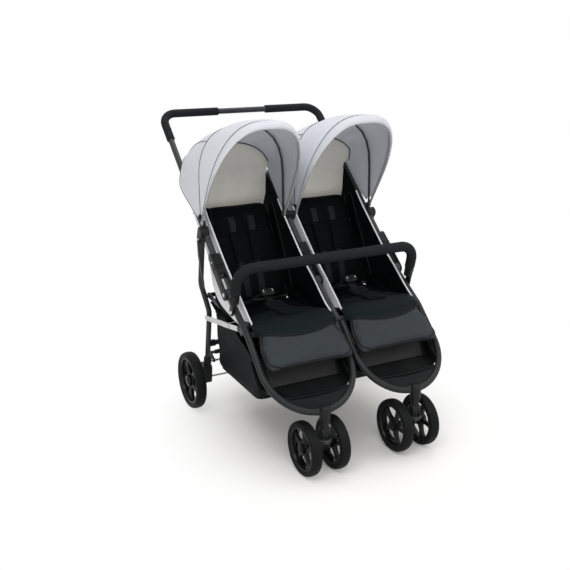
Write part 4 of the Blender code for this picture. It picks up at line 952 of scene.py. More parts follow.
STEP_COLUMNS = 40
cheek_line = [(-0.268, 0.350), (-0.300, 0.352), (-0.346, 0.308), (-0.392, 0.274), (-0.380, 0.262),
              (-0.345, 0.264), (-0.320, 0.280)]
stations = []
for t in (1.13, 1.0, 0.86, 0.70, 0.52, 0.34, 0.18, 0.07, 0.02):
    down = LEDGE_DOWN + (APRON_DOWN - LEDGE_DOWN) * t
    stations.append((down, KNEE + HOOP_DOWN * down, 1))
for t in (0.0, 0.03, 0.12, 0.35, 0.6, 0.85, 0.97):
    stations.append((LEDGE_DOWN - 0.050 * t, ledge_front.lerp(ledge_back, t), 0))
for t in (0.03, 0.15, 0.35, 0.55, 0.75, 0.9, 1.0):
    stations.append((LEDGE_DOWN - 0.050 - 0.10 * t, ledge_back.lerp(panel_top, t), -1))

for side, sign in SIDES:
    cx = sign * HOOP_X
    verts = [point for station in stations for point in step_row(cx, *station)]
    shell = shape("shell", verts, grid_faces(len(stations) - 1, STEP_COLUMNS),
                  [footrest_nylon, footrest_panel], 0)
    for face in shell.data.polygons:
        row, c = divmod(face.index, STEP_COLUMNS)
        face.material_index = 1 if stations[row][2] < 0 and 5 < c < STEP_COLUMNS - 6 else 0
    thick = shell.modifiers.new("wall", "SOLIDIFY")
    thick.thickness = 0.0034
    thick.offset = 0.0
    soft = shell.modifiers.new("round", "BEVEL")
    soft.width = 0.0008
    soft.segments = 2
    soft.limit_method = "ANGLE"
    smoothed(worked(shell), 40)
    ridge = []
    for c in range(25):
        u = 2 * c / 24 - 1
        bulge = 1 - u * u
        ridge.append(Vector((cx + (inner_half(LEDGE_DOWN) - 0.004) * u, ledge_front.x - 0.001 - 0.006 * bulge,
                             ledge_front.y + 0.0030 - 0.004 * bulge)))
    parts = [shell, tube("lip", ridge, 0.0020, footrest_nylon, 10)]
    for s in (-1, 1):
        low_x = cx + s * (CLEAR_R - 0.0115)
        parts.append(plate("cheek", cheek_line, low_x, low_x + s * 0.0030, footrest_nylon, 0.0009))
    for row in range(1, 7):
        place = ledge_front.lerp(ledge_back, row / 7) + Vector((0, 0.0019))
        reach = inner_half(LEDGE_DOWN - 0.05 * row / 7) - 0.026
        parts.append(tube("rib", [at(cx - reach, place), at(cx + reach, place)], 0.0009, footrest_nylon, 8))
    settle(gather("foot_step_" + side, parts), "front_frame", "footrest_" + side, "black_plastic")


# SIDE BRACES
# Flat zinc-plated steel straps between the rear legs and the front tubes, doubled near the leg, with a black
# nylon stop near the front and a bright rivet at each end.
run = (LINK_FRONT - LINK_REAR).normalized()
rise = Vector((-run.y, run.x))
for side, sign in SIDES:
    x = sign * 0.309
    parts = [strap("strap", LINK_REAR, 0.009, LINK_FRONT, 0.009, x - 0.0015, x + 0.0015, bright_zinc, 0.0006)]
    for s in (-1, 1):
        parts.append(strap("fold", LINK_REAR + run * 0.012 + rise * (0.0055 * s), 0.0022,
                           LINK_REAR + run * 0.150 + rise * (0.0048 * s), 0.0022, x, x + sign * 0.0030,
                           bright_zinc, 0.0006, 6))
    parts.append(strap("block", LINK_REAR + run * 0.160, 0.0085, LINK_REAR + run * 0.205, 0.0085,
                       x - sign * 0.0012, x + sign * 0.0040, bright_zinc, 0.0010, 8))
    parts.append(strap("stop", LINK_FRONT - run * 0.060, 0.0102, LINK_FRONT - run * 0.020, 0.0090, x - 0.0020,
                       x + sign * 0.0019, black_nylon, 0.0008, 12))
    parts.append(rivets("heads", [(at(x + sign * 0.0012, LINK_REAR), (sign, 0, 0)),
                                  (at(x - sign * 0.0012, LINK_FRONT), (-sign, 0, 0))], 0.0058, 0.0016))
    settle(gather("side_strut_" + side, parts), "side_brace_" + side, "side_link_" + side, "bare_steel")


# CANOPY BOWS
# Flat sprung nylon strips under the cloth. The front one is sewn into a grey sleeve at the hood's rim, whose
# grey is painted shade for the band of shadow along the inside of the rim. Of the middle one, only the ends
# and a dark line inside the hood show.
bow_strip = hard_finish("grey_bow_strip", (0.030, 0.031, 0.035), (0.050, 0.052, 0.058), (0.08, 0.08, 0.085),
                        (0.5, 0.6), cells=1500.0, depth=0.00005, specular=0.15)
# Grey of the front bow's sleeve: painted shade for the band of shadow inside the hood's rim.
shade_band_sleeve = hard_finish("sleeve_grey_painted_shade", (0.24, 0.245, 0.26), (0.32, 0.325, 0.345), (0.30, 0.31, 0.33),
                         (0.8, 0.9), cells=1500.0, depth=0.0001, specular=0.1)
for side, sign in SIDES:
    for bow, finish in (("front", shade_band_sleeve), ("mid", bow_strip)):
        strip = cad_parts["canopy_" + bow + "_bow_" + side]
        strip.data.materials.clear()
        strip.data.materials.append(finish)


# CLOTH FINISHES
# Woven polyester: cool grey for the hoods, black with a soft sheen for the seats, slate for the leg rests,
# and an open grey net on the outside of the seats' side panels. In every cloth the raised tops of the threads
# carry a painted highlight, which is part of the seats' sheen.
weave = effect("plain_weave", {"Threads per metre": 1400.0}, ("Shade", "Height"), {
    "apart": ("ShaderNodeSeparateXYZ", {}), "crossed": MULTIPLY, "slub": cloudy(6.0, Scale=26.0),
    **{"many" + axis: MULTIPLY for axis in "XYZ"},
    **{"wave" + axis: ("ShaderNodeMath", {"operation": "SINE"}) for axis in "XYZ"},
    "both": ("ShaderNodeMath", {"operation": "ADD"}),
    "tall": ("ShaderNodeMath", {"operation": "MULTIPLY_ADD", 1: 0.25, 2: 0.5})},
    "".join(f"apart.{axis} > many{axis}.0, given.Threads per metre > many{axis}.1, "
            f"many{axis}.0 > wave{axis}.0, " for axis in "XYZ")
    + "given.Vector > apart.0, waveX.0 > crossed.0, waveY.0 > both.0, waveZ.0 > both.1, both.0 > crossed.1, "
    "given.Vector > slub.Vector, crossed.0 > tall.0, tall.0 > result.Height, slub.Fac > result.Shade")


def cloth_finish(name, dark, light, rough, threads=2400.0, depth=0.00025, specular=0.2, uv=False, turn=0.0,
                 creases=0.0, dusty=0.08, thin=0.0):
    """Woven cloth: slubby shade, crossed threads with a painted highlight on their tops and, where asked,
    soft creases and light shining through.
    """
    kinds = {"lay": ("ShaderNodeMapping", {"Rotation": (turn, 0.0, 0.0)}),
             "woven": placed(weave, Threads_per_metre=threads), "film": placed(dust, Amount=dusty),
             # The raised threads are mixed towards a lighter colour: a painted highlight on the weave.
             "shades": mixed(dark, light), "lit_thread": mixed(None, tuple(min(1.0, c * 1.6) for c in light)),
             "dusted": mixed(None, (0.20, 0.195, 0.185)),
             "thread": ranged((0.2, 0.8), (0.0, 0.22)), "gloss": ranged((0.0, 1.0), rough),
             "bump": ("ShaderNodeBump", {"Strength": 0.7, "Distance": depth})}
    links = (f"where.{'UV' if uv else 'Object'} > lay.Vector, lay.0 > woven.Vector, "
             "where.Object > film.Vector, woven.Shade > shades.Factor, woven.Height > thread.Value, "
             "thread.0 > lit_thread.Factor, shades.2 > lit_thread.6, film.Mask > dusted.Factor, "
             "lit_thread.2 > dusted.6, "
             "dusted.2 > shader.Base Color, woven.Shade > gloss.Value, gloss.0 > shader.Roughness, "
             "woven.Height > bump.Height, ")
    if creases:
        kinds["folds"] = cloudy(3.0, Scale=9.0, Distortion=1.2)
        kinds["creased"] = ("ShaderNodeBump", {"Strength": 0.8, "Distance": creases})
        links += ("where.Object > folds.Vector, folds.Fac > creased.Height, bump.Normal > creased.Normal, "
                  "creased.Normal > shader.Normal")
    else:
        links += "bump.Normal > shader.Normal"
    if thin:
        kinds["through"] = ("ShaderNodeBsdfTranslucent", {})
        kinds["lit"] = ("ShaderNodeMixShader", {"Fac": thin})
        links += ", dusted.2 > through.Color, shader.0 > lit.1, through.0 > lit.2, lit.0 > out.Surface"
    return painted(name, {"Specular IOR Level": specular}, kinds, links)


hood_cloth = cloth_finish("cool_grey_hood_cloth", (0.72, 0.735, 0.79), (0.80, 0.815, 0.87), (0.72, 0.86),
                          uv=True, creases=0.004, thin=0.30)
hood_lining = cloth_finish("grey_hood_lining", (0.54, 0.55, 0.585), (0.64, 0.65, 0.69), (0.78, 0.90), uv=True,
                           creases=0.004, thin=0.45)
curtain_cloth = cloth_finish("warm_grey_curtain_cloth", (0.70, 0.69, 0.64), (0.80, 0.79, 0.74), (0.78, 0.90),
                             uv=True, creases=0.006, thin=0.35)
dark_binding = cloth_finish("dark_grey_binding", (0.035, 0.037, 0.045), (0.060, 0.063, 0.075), (0.7, 0.85))
seat_cloth = cloth_finish("black_seat_cloth", (0.0012, 0.0017, 0.0021), (0.0034, 0.0042, 0.0050),
                          (0.58, 0.74), creases=0.003, specular=0.03, dusty=0.004)
knee_cloth = cloth_finish("navy_black_cloth", (0.0030, 0.0054, 0.0062), (0.0060, 0.0094, 0.0104),
                          (0.48, 0.64), creases=0.005, specular=0.06, dusty=0.006)
slate_cloth = cloth_finish("slate_leg_cloth", (0.0165, 0.0210, 0.0240), (0.0250, 0.0310, 0.0345),
                           (0.50, 0.66), turn=0.63, creases=0.005, specular=0.18, dusty=0.01)
net_cloth = cloth_finish("grey_side_net", (0.56, 0.56, 0.59), (0.72, 0.72, 0.75), (0.7, 0.85), threads=1500.0,
                         depth=0.0006)
piping = cloth_finish("black_piping", (0.0030, 0.0034, 0.0040), (0.0065, 0.0072, 0.0080), (0.42, 0.58),
                      specular=0.14)
web_cloth = cloth_finish("black_webbing", (0.0035, 0.0040, 0.0046), (0.0085, 0.0095, 0.0105), (0.50, 0.66),
                         threads=1900.0, depth=0.0005, specular=0.12, dusty=0.02)
basket_cloth = cloth_finish("black_basket_cloth", (0.0030, 0.0036, 0.0044), (0.0070, 0.0080, 0.0092),
                            (0.55, 0.75), creases=0.006, specular=0.1, dusty=0.02)
thread_finish = cloth_finish("grey_black_thread", (0.020, 0.021, 0.024), (0.034, 0.036, 0.040), (0.5, 0.65))


# CANOPIES
# Each hood is one sewn cover of cool grey cloth over two bows. Its front rim is a rolled, padded band, the
# panels meet in piped seams over the bows, and the outer rear corner hangs lower, outside the side tube.
FRONT_ANGLE, MID_ANGLE, REAR_ANGLE = math.radians(120.5), math.radians(88.5), math.radians(46.5)
FRONT_REACH, MID_REACH = 0.398, 0.312
CANOPY_X = 0.1795
RIM_RINGS, MID_RING = 9, 19


def arch(centre, half, reach, flat):
    """A hood's cross arch as (x, radius) places: straight sides, then a round top."""
    left = [(-1.0, 0.030 + (reach * flat - 0.030) * k / 8) for k in range(8)]
    crown = []
    for step in range(45):
        angle = math.pi * step / 44
        u = math.copysign(abs(math.cos(angle)) ** 0.72, -math.cos(angle))
        crown.append((u, reach * (flat + (1 - flat) * max(0.0, math.sin(angle)) ** 0.85)))
    right = [(1.0, radius) for u, radius in reversed(left)]
    return [(centre + half * u, radius) for u, radius in left + crown + right]


def hood_ring(centre, sign, angle, reach, flat, rearward):
    """One ring of the cover, at an angle round the canopy pin."""
    places = arch(centre, 0.1592, reach + 0.0032, flat)
    ring = []
    for index, (x, radius) in enumerate(places):
        from_outer = len(places) - 1 - index if sign > 0 else index
        share = max(0.0, min(1.0, (13 - from_outer) / 6))
        drop = rearward * math.radians(21) * share * share * (3 - 2 * share)
        out = Vector((math.cos(angle - drop), math.sin(angle - drop)))
        ring.append(at(x, CANOPY_PIN + out * radius))
    return ring


def hood_stations():
    """Angle, reach, flatness and share of the way rearward of each ring, front to back."""
    rows = [(FRONT_ANGLE + turn, FRONT_REACH + out, flat, 0) for turn, out, flat in (
        (0.016, -0.0165, 0.25), (0.036, -0.0140, 0.25), (0.048, -0.0070, 0.25), (0.044, 0.0010, 0.25),
        (0.028, 0.0055, 0.25), (0.004, 0.0065, 0.25), (-0.022, 0.0035, 0.25), (-0.044, -0.0035, 0.26),
        (-0.052, -0.0090, 0.265), (-0.060, -0.0085, 0.27))]
    first = 0.060 / (FRONT_ANGLE - MID_ANGLE)
    for k in range(1, 9):
        share = first + (1 - first) * k / 9
        sag = 0.0055 * math.sin(math.pi * (share - first) / (1 - first)) ** 0.8
        rows.append((FRONT_ANGLE + (MID_ANGLE - FRONT_ANGLE) * share,
                     FRONT_REACH + (MID_REACH - FRONT_REACH) * share + 0.002 - sag, 0.25 + 0.20 * share, 0))
    rows += [(MID_ANGLE + 0.010, MID_REACH + 0.0012, 0.45, 0), (MID_ANGLE, MID_REACH + 0.0018, 0.45, 0),
             (MID_ANGLE - 0.010, MID_REACH + 0.0012, 0.45, 0.02)]
    for k in range(1, 13):
        share = k / 12
        sag = 0.0045 * math.sin(math.pi * share) ** 0.8
        rows.append((MID_ANGLE + (REAR_ANGLE - MID_ANGLE) * share, MID_REACH - 0.012 * share - sag,
                     0.45 + 0.25 * share, share))
    return rows


def lengths_along(path):
    """How far along a path each of its points lies."""
    far = [0.0]
    for a, b in zip(path, path[1:]):
        far.append(far[-1] + (a - b).length)
    return far


def length_of(path):
    return lengths_along(path)[-1]


def walled(piece, thickness, offset, inside=0, rim=0, sharp=60):
    """Give a cloth surface its thickness; returns the area that it was cut to."""
    area = sum(face.area for face in piece.data.polygons)
    wall = piece.modifiers.new("wall", "SOLIDIFY")
    wall.thickness = thickness
    wall.offset = offset
    wall.material_offset = inside
    wall.material_offset_rim = rim
    smoothed(worked(piece), sharp)
    return area


def measured(piece, places):
    """A UV map in metres of cloth, one place for each point."""
    layer = piece.data.uv_layers.new(name="cloth_metres")
    for loop in piece.data.loops:
        layer.data[loop.index].uv = places[loop.vertex_index]


stations = hood_stations()
for side, sign in SIDES:
    centre = sign * CANOPY_X
    pin_place = at(centre, CANOPY_PIN)
    rings = [hood_ring(centre, sign, *row) for row in stations]
    for r, ring in enumerate(rings):
        seam = stations[r][3] * 0.8 + (0.5 if RIM_RINGS < r < MID_RING - 1 else 0.0)
        for k, point in enumerate(ring):
            t = k / (len(ring) - 1)
            pull = noise.noise(Vector((point.x * 9, point.y * 5, point.z * 14))) * 0.0030
            gathers = math.sin(point.z * 95 + point.y * 40) * 0.0012 * max(0.0, 1 - 5 * min(t, 1 - t))
            point += (point - pin_place).normalized() * ((pull + gathers) * min(1.0, seam))
    count = len(rings[0])
    hood = shape("hood_" + side, [p for ring in rings for p in ring], grid_faces(len(rings) - 1, count - 1),
                 [hood_cloth, hood_lining], 0, False)
    centre_out = hood.data.polygons[len(hood.data.polygons) // 2]
    if centre_out.normal.dot(centre_out.center - pin_place) < 0:
        hood.data.flip_normals()
    run = lengths_along([ring[count // 2] for ring in rings])
    measured(hood, [(across, run[r]) for r, ring in enumerate(rings) for across in lengths_along(ring)])
    true_area = walled(hood, 0.0016, -1, 1, 1)

    def lifted(places, push):
        return [p + (p - pin_place).normalized() * push for p in places]

    lines = [tube("seam", lifted(rings[r], push), radius, dark_binding, 6) for r, radius, push in
             ((RIM_RINGS, 0.0010, 0.0007), (MID_RING, 0.0010, 0.0009), (-1, 0.0014, 0.0))]
    lines += [tube("seam", lifted([ring[k] for ring in rings[MID_RING:]], 0.0006), 0.0011, dark_binding, 6)
              for k in (19, count - 20)]
    lines += [tube("edge", [ring[end] for ring in rings[4:]], 0.0013, dark_binding, 6) for end in (0, -1)]
    trim = gather("hood_piping_" + side, lines)
    for piece in (hood, trim):
        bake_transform(piece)
    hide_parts("canopy_" + side)

    # The rear curtain hangs from inside the hood's rear hem, behind the seat back, and passes in front of the
    # cross tube.
    rows, columns = 20, 30
    verts = []
    bar_left, bar_right = sorted((sign * 0.0185, sign * 0.3080))
    low_left, low_right = (centre - 0.126, centre + 0.147) if sign < 0 else (centre - 0.140, centre + 0.146)
    for i in range(rows + 1):
        t = i / rows
        for j in range(columns + 1):
            across = j / columns
            u = 2 * across - 1
            place = (0.16 + 0.68 * across) * (count - 1)
            top = rings[-3][int(place)].lerp(rings[-3][min(count - 1, int(place) + 1)], place - int(place))
            bar_x = bar_left + (bar_right - bar_left) * across
            fall = [top, Vector((bar_x, 0.2440, 0.846)), Vector((bar_x, 0.2400, 0.812)),
                    Vector((low_left + (low_right - low_left) * across, 0.252 + 0.004 * u * u, 0.712))]
            stretch = t / 0.45 if t < 0.45 else (1 + (t - 0.45) / 0.15 if t < 0.60 else 2 + (t - 0.60) / 0.40)
            step = min(2, int(stretch))
            point = fall[step].lerp(fall[step + 1], stretch - step)
            slack = math.sin(math.pi * (stretch - step)) if step != 1 else 0.0
            point.y += (0.010 if step == 0 else -0.004) * slack * (1 - 0.4 * u * u)
            point.y -= 0.0025 * abs(math.sin(u * 6 + t * 2)) * min(1.0, t * 2)
            verts.append(point - (top - pin_place).normalized() * 0.003 * (1 - t))
    curtain = shape("hood_curtain_" + side, verts, grid_faces(rows, columns), curtain_cloth, 0, False)
    measured(curtain, [(0.30 * j / columns, 0.20 * i / rows) for i in range(rows + 1)
                       for j in range(columns + 1)])
    tall = length_of(verts[columns // 2::columns + 1])
    true_area = walled(curtain, 0.0014, 0)
    low_edge, top_edge = verts[-columns - 1:], [p - Vector((0, 0.0020, 0.0030)) for p in verts[:columns + 1]]
    hem = gather("hood_curtain_hem_" + side, [tube("hem", low_edge, 0.0018, dark_binding, 8),
                                              tube("hem", top_edge, 0.0022, dark_binding, 8)])
    for piece in (curtain, hem):
        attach(piece, "handle_frame")


# PADDED SEATS
# Each seat is three foam pads in black cloth: the seat, the reclining back and the leg rest. The pads are
# crowned and drawn in between their corners, edged with piping, and sewn through across the back and seat.
def pad_form(name, centre, start, end, half, thick, finish, narrow=1.0, flare=0.0):
    """A closed crowned form from start to end; its rim is rounded and its sides are drawn in."""
    length = (end - start).length
    along = (end - start).normalized()
    normal = Vector((-along.y, along.x))
    if (abs(normal.y) >= abs(normal.x) and normal.y < 0) or (abs(normal.x) > abs(normal.y) and normal.x > 0):
        normal = -normal
    middle = (start + end) / 2

    def surface(u, v, face):
        draw = 1 - 0.030 * (1 - v * v)
        corner = 1 - 0.10 * v ** 6
        wide = min(1.0, max(0.0, (v + 0.75) / 0.8))
        x = centre + ((half + flare * wide * wide * (3 - 2 * wide)) * u * draw * corner
                      * (1 - (1 - narrow) * (v + 1) / 2))
        reach = length / 2 * v * (1 - 0.03 * (1 - u * u)) * (1 - 0.06 * u ** 6)
        edge = (1 - u ** 8) * (1 - v ** 8)
        tall = face * thick / 2 * min(1.0, max(0.0, edge)) ** 0.5
        if face > 0:
            tall += 0.008 * (1 - u * u) * (1 - v * v)
        return at(x, middle + along * reach + normal * tall)

    grid = 26
    verts, faces, top, low = [], [], {}, {}
    marks = [math.sin(math.pi / 2 * (2 * k / grid - 1)) for k in range(grid + 1)]
    for i, u in enumerate(marks):
        for j, v in enumerate(marks):
            top[i, j] = len(verts)
            rim = i in (0, grid) or j in (0, grid)
            verts.append(surface(u, v, 0 if rim else 1))
            low[i, j] = top[i, j]
            if not rim:
                low[i, j] = len(verts)
                verts.append(surface(u, v, -1))
    for i in range(grid):
        for j in range(grid):
            faces.append((top[i, j], top[i + 1, j], top[i + 1, j + 1], top[i, j + 1]))
            faces.append((low[i, j], low[i, j + 1], low[i + 1, j + 1], low[i + 1, j]))
    return shape(name, verts, faces, finish, 0), surface, at(0, normal), at(0, along)


SEAT_X = 0.165
SEAT_FRONT = Vector((-0.2455, 0.4389))
BACK_HEAD = Vector((0.205, 0.745))
LEG_TOP = Vector((-0.2491, 0.4331))
pads = {}
for side, sign in SIDES:
    x = sign * SEAT_X
    pads["seat", side] = pad_form("seat_pad_" + side, x, Vector((0.034, 0.4112)), SEAT_FRONT, 0.1405, 0.024,
                                  seat_cloth)
    pads["back", side] = pad_form("back_pad_" + side, x, BACK_FOOT.lerp(BACK_HEAD, -0.030), BACK_HEAD, 0.137,
                                  0.026, seat_cloth, 0.93)
    pads["leg", side] = pad_form("leg_pad_" + side, x, LEG_TOP, Vector((-0.3735, 0.3418)), 0.1440, 0.026,
                                 slate_cloth, flare=0.016)

# The pads are puffed up by a cloth simulation under inner pressure, with a cap on how far a point may move.
PUFF_CAP, PUFF_FRAMES = 0.0055, 20
rests = {}
for key, (piece, surface, normal, along) in pads.items():
    blocks = piece.modifiers.new("blocks", "REMESH")
    blocks.mode = "VOXEL"
    blocks.voxel_size = 0.0055
    blocks.use_smooth_shade = True
    rests[key] = np.array([v.co for v in worked(piece).vertices], float)
    puff = piece.modifiers.new("puff", "CLOTH")
    puff.settings.use_pressure = True
    puff.settings.uniform_pressure_force = 4.0
    puff.settings.quality = 4
    puff.settings.tension_stiffness = 20
    puff.settings.compression_stiffness = 20
    puff.settings.shear_stiffness = 8
    puff.settings.bending_stiffness = 0.6
    puff.settings.effector_weights.gravity = 0.0
    puff.collision_settings.use_collision = False
    puff.point_cache.frame_start = 1
    puff.point_cache.frame_end = PUFF_FRAMES
for step in range(1, PUFF_FRAMES + 1):
    scene.frame_set(step)
for key, (piece, surface, normal, along) in pads.items():
    mesh = worked(piece)
    move = np.array([v.co for v in mesh.vertices], float) - rests[key]
    far = np.linalg.norm(move, axis=1, keepdims=True)
    move *= np.minimum(1.0, PUFF_CAP / np.maximum(far, 1e-9))
    mesh.vertices.foreach_set("co", (rests[key] + move).ravel())
    mesh.update()
scene.frame_set(1)


def channel(piece, normal, origin, along, width, deep):
    """Press a sewn line into a pad: a soft valley across it at a place along the pad."""
    for vertex in piece.data.vertices:
        up = (vertex.co - origin).dot(normal)
        if up >= 0:
            reach = (vertex.co - origin).dot(along)
            vertex.co += normal * (-deep * math.exp(-(reach / width) ** 2) * min(1.0, up / 0.008))


def hugging(tree, origin, direction, lift):
    """Where a line towards a pad meets it, lifted clear of the cloth; None where it misses."""
    place = tree.ray_cast(origin, direction)[0]
    return None if place is None else place - direction.normalized() * lift


stitch_tree = new_tree("stitch_row", [("Stitch", "Object"), ("Spacing", "Float")], {
    "line": ("GeometryNodeMeshToCurve", {}), "dots": ("GeometryNodeCurveToPoints", {"mode": "LENGTH"}),
    "one": ("GeometryNodeObjectInfo", {}), "copies": ("GeometryNodeInstanceOnPoints", {})},
    "given.Geometry > line.Mesh, line.Curve > dots.Curve, given.Spacing > dots.Length, "
    "given.Stitch > one.Object, dots.Points > copies.Points, dots.Rotation > copies.Rotation, "
    "one.Geometry > copies.Instance, copies.Instances > real.Geometry")


STITCH_SPACING = 0.0042


def stitches(name, path):
    """A row of short thread stitches along a path."""
    one = turned("thread", [(0.0, -0.0014), (0.00032, -0.0010), (0.00036, 0.0), (0.00032, 0.0010),
                            (0.0, 0.0014)], (0, 0, 0), (0, 0, 1), thread_finish, 6, 0)
    made = grown(name, seed_of(path), stitch_tree,
                 {"Stitch": one, "Spacing": STITCH_SPACING, "Finish": thread_finish}, 60)
    bpy.data.objects.remove(one)
    return made


RIM_CORNERS = []
for k in range(73):
    c, s = math.cos(2 * math.pi * k / 72), math.sin(2 * math.pi * k / 72)
    RIM_CORNERS.append((math.copysign(abs(c) ** 0.28, c), math.copysign(abs(s) ** 0.28, s)))


def rim_path(tree, surface, normal, inset, lift):
    """A line on a pad, round it and inside its edge."""
    return [hugging(tree, surface(u * inset, v * inset, 1) + normal * 0.05, -normal, lift)
            or surface(u * inset, v * inset, 1) for u, v in RIM_CORNERS]


# Where each pad is sewn through, as shares of its half length, with the width and depth of the channel.
SEWN = {"seat": ((-0.30, 0.30), 0.006, 0.005), "back": ((-0.30, 0.42), 0.006, 0.006),
        "leg": ((-1.1,), 0.010, 0.002)}
for side, sign in SIDES:
    for part, body, node in (("seat", "front_frame", "seat_"), ("back", "back_" + side, "backrest_"),
                             ("leg", "leg_support_" + side, "leg_rest_")):
        piece, surface, normal, along = pads[part, side]
        sewn, width, deep = SEWN[part]
        for v in sewn:
            channel(piece, normal, surface(0, v, 0), along, width, deep)
        piece.data.update()
        finer = piece.modifiers.new("finer", "SUBSURF")
        finer.levels = finer.render_levels = 1
        smoothed(worked(piece), 0)
        tree = BVHTree.FromObject(piece, bpy.context.evaluated_depsgraph_get())
        pads[part, side] += (tree,)
        settle(piece, body, node + side, "seat_cloth")
        edge = []
        for u, v in RIM_CORNERS:
            place, way = tree.find_nearest(surface(u, v, 0))[:2]
            edge.append(place + way * 0.0004)
        trims = [tube("welt", edge, 0.0030, piping, 8)]
        if part == "leg":
            border = rim_path(tree, surface, normal, 0.935, 0.0005)
            trims.append(tube("inner_welt", border, 0.0027, piping, 8))
            trims.append(stitches("row", rim_path(tree, surface, normal, 0.89, 0.0002)))
        else:
            for v in sewn:
                path = [hugging(tree, surface(u / 10, v, 1) + normal * 0.05, -normal, 0.0002)
                        for u in range(-9, 10)]
                trims.append(stitches("row", [p for p in path if p is not None]))
        settle(gather(part + "_pad_trim_" + side, trims), body, [], "seat_cloth")

# A cloth tail hangs from the seat's rear edge, under and behind the foot of the back.
tail_line = rounded([at(0, p) for p in ((-0.040, 0.4075), (0.046, 0.3950), (0.116, 0.4230))], 0.10, 10)
for side, sign in SIDES:
    x = sign * SEAT_X
    verts = [Vector((x + 0.1415 * u, p.y, p.z + 0.0010 * noise.noise(Vector((u * 3, p.y * 30, 2)))))
             for u in [j / 12 - 1 for j in range(25)] for p in tail_line]
    tail = shape("seat_tail_" + side, verts, grid_faces(24, len(tail_line) - 1), seat_cloth, 0, False)
    true_area = walled(tail, 0.0014, 0)
    settle(tail, "front_frame", [], "seat_cloth")
    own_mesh(tail)
    true_area / length_of(tail_line)
    length_of(tail_line)


def along_line(points, t):
    """A point at a share of the way through a list of places, on a smooth line."""
    k = min(int(t * (len(points) - 1)), len(points) - 2)
    s = t * (len(points) - 1) - k
    p0, p1, p2, p3 = [Vector(points[max(0, min(k + step, len(points) - 1))]) for step in (-1, 0, 1, 2)]
    return 0.5 * ((2 * p1) + (p2 - p0) * s + (2 * p0 - 5 * p1 + 4 * p2 - p3) * s * s
                  + (-p0 + 3 * p1 - 3 * p2 + p3) * s * s * s)


# A low bolster along each side of the seat fills the corner between the seat, the back and the side panel.
bolster_line = [(-0.112, 0.4230), (-0.060, 0.4275), (0.000, 0.4330), (0.040, 0.4400), (0.084, 0.4520)]
for side, sign in SIDES:
    rolls = []
    for s in (-1, 1):
        verts = []
        for row in range(19):
            t = row / 18
            middle = along_line(bolster_line, t)
            taper = max(0.02, 1 - (2 * t - 1) ** 12) ** 0.5
            tall = (0.013 + 0.015 * t) * taper
            for a in [2 * math.pi * k / 14 for k in range(14)]:
                verts.append((sign * SEAT_X + s * (0.1335 + 0.0055 * math.cos(a) * taper), middle.x,
                              middle.y + tall * math.sin(a)))
        rolls.append(shape("roll", verts, ring_faces(18, 14), seat_cloth, 60))
    rolls = gather("seat_bolsters_" + side, rolls)
    settle(rolls, "front_frame", [], "seat_cloth")

# A slim bolster runs up each side of the back, turned forward towards the side panel.
for side, sign in SIDES:
    surface, normal, along = pads["back", side][1:4]
    rolls = []
    for s in (-1, 1):
        verts, edge_line = [], []
        for row in range(31):
            v = -0.93 + 1.90 * row / 30
            taper = max(0.02, 1 - (2 * row / 30 - 1) ** 24) ** 0.5
            spine = surface(0, v, 0) + Vector((s * 0.1322 * (1 - 0.07 * (v + 1) / 2), 0, 0)) + normal * 0.022
            for a in [2 * math.pi * k / 14 for k in range(14)]:
                deep = 0.030 * math.cos(a) * taper
                side_out = 0.0042 * math.sin(a) * taper - 0.0035 * (max(0.0, deep) / 0.030) ** 2
                verts.append(spine + Vector((s * side_out, 0, 0)) + normal * deep
                             + normal * 0.0008 * noise.noise(spine * 30))
            edge_line.append(spine + normal * (0.0302 * taper) - Vector((s * 0.0035, 0, 0)))
        rolls.append(shape("roll", verts, ring_faces(30, 14), seat_cloth, 60))
        rolls.append(tube("welt", edge_line[1:-1], 0.0018, piping, 8))
    bolsters = gather("back_bolsters_" + side, rolls)
    settle(bolsters, "back_" + side, [], "seat_cloth")

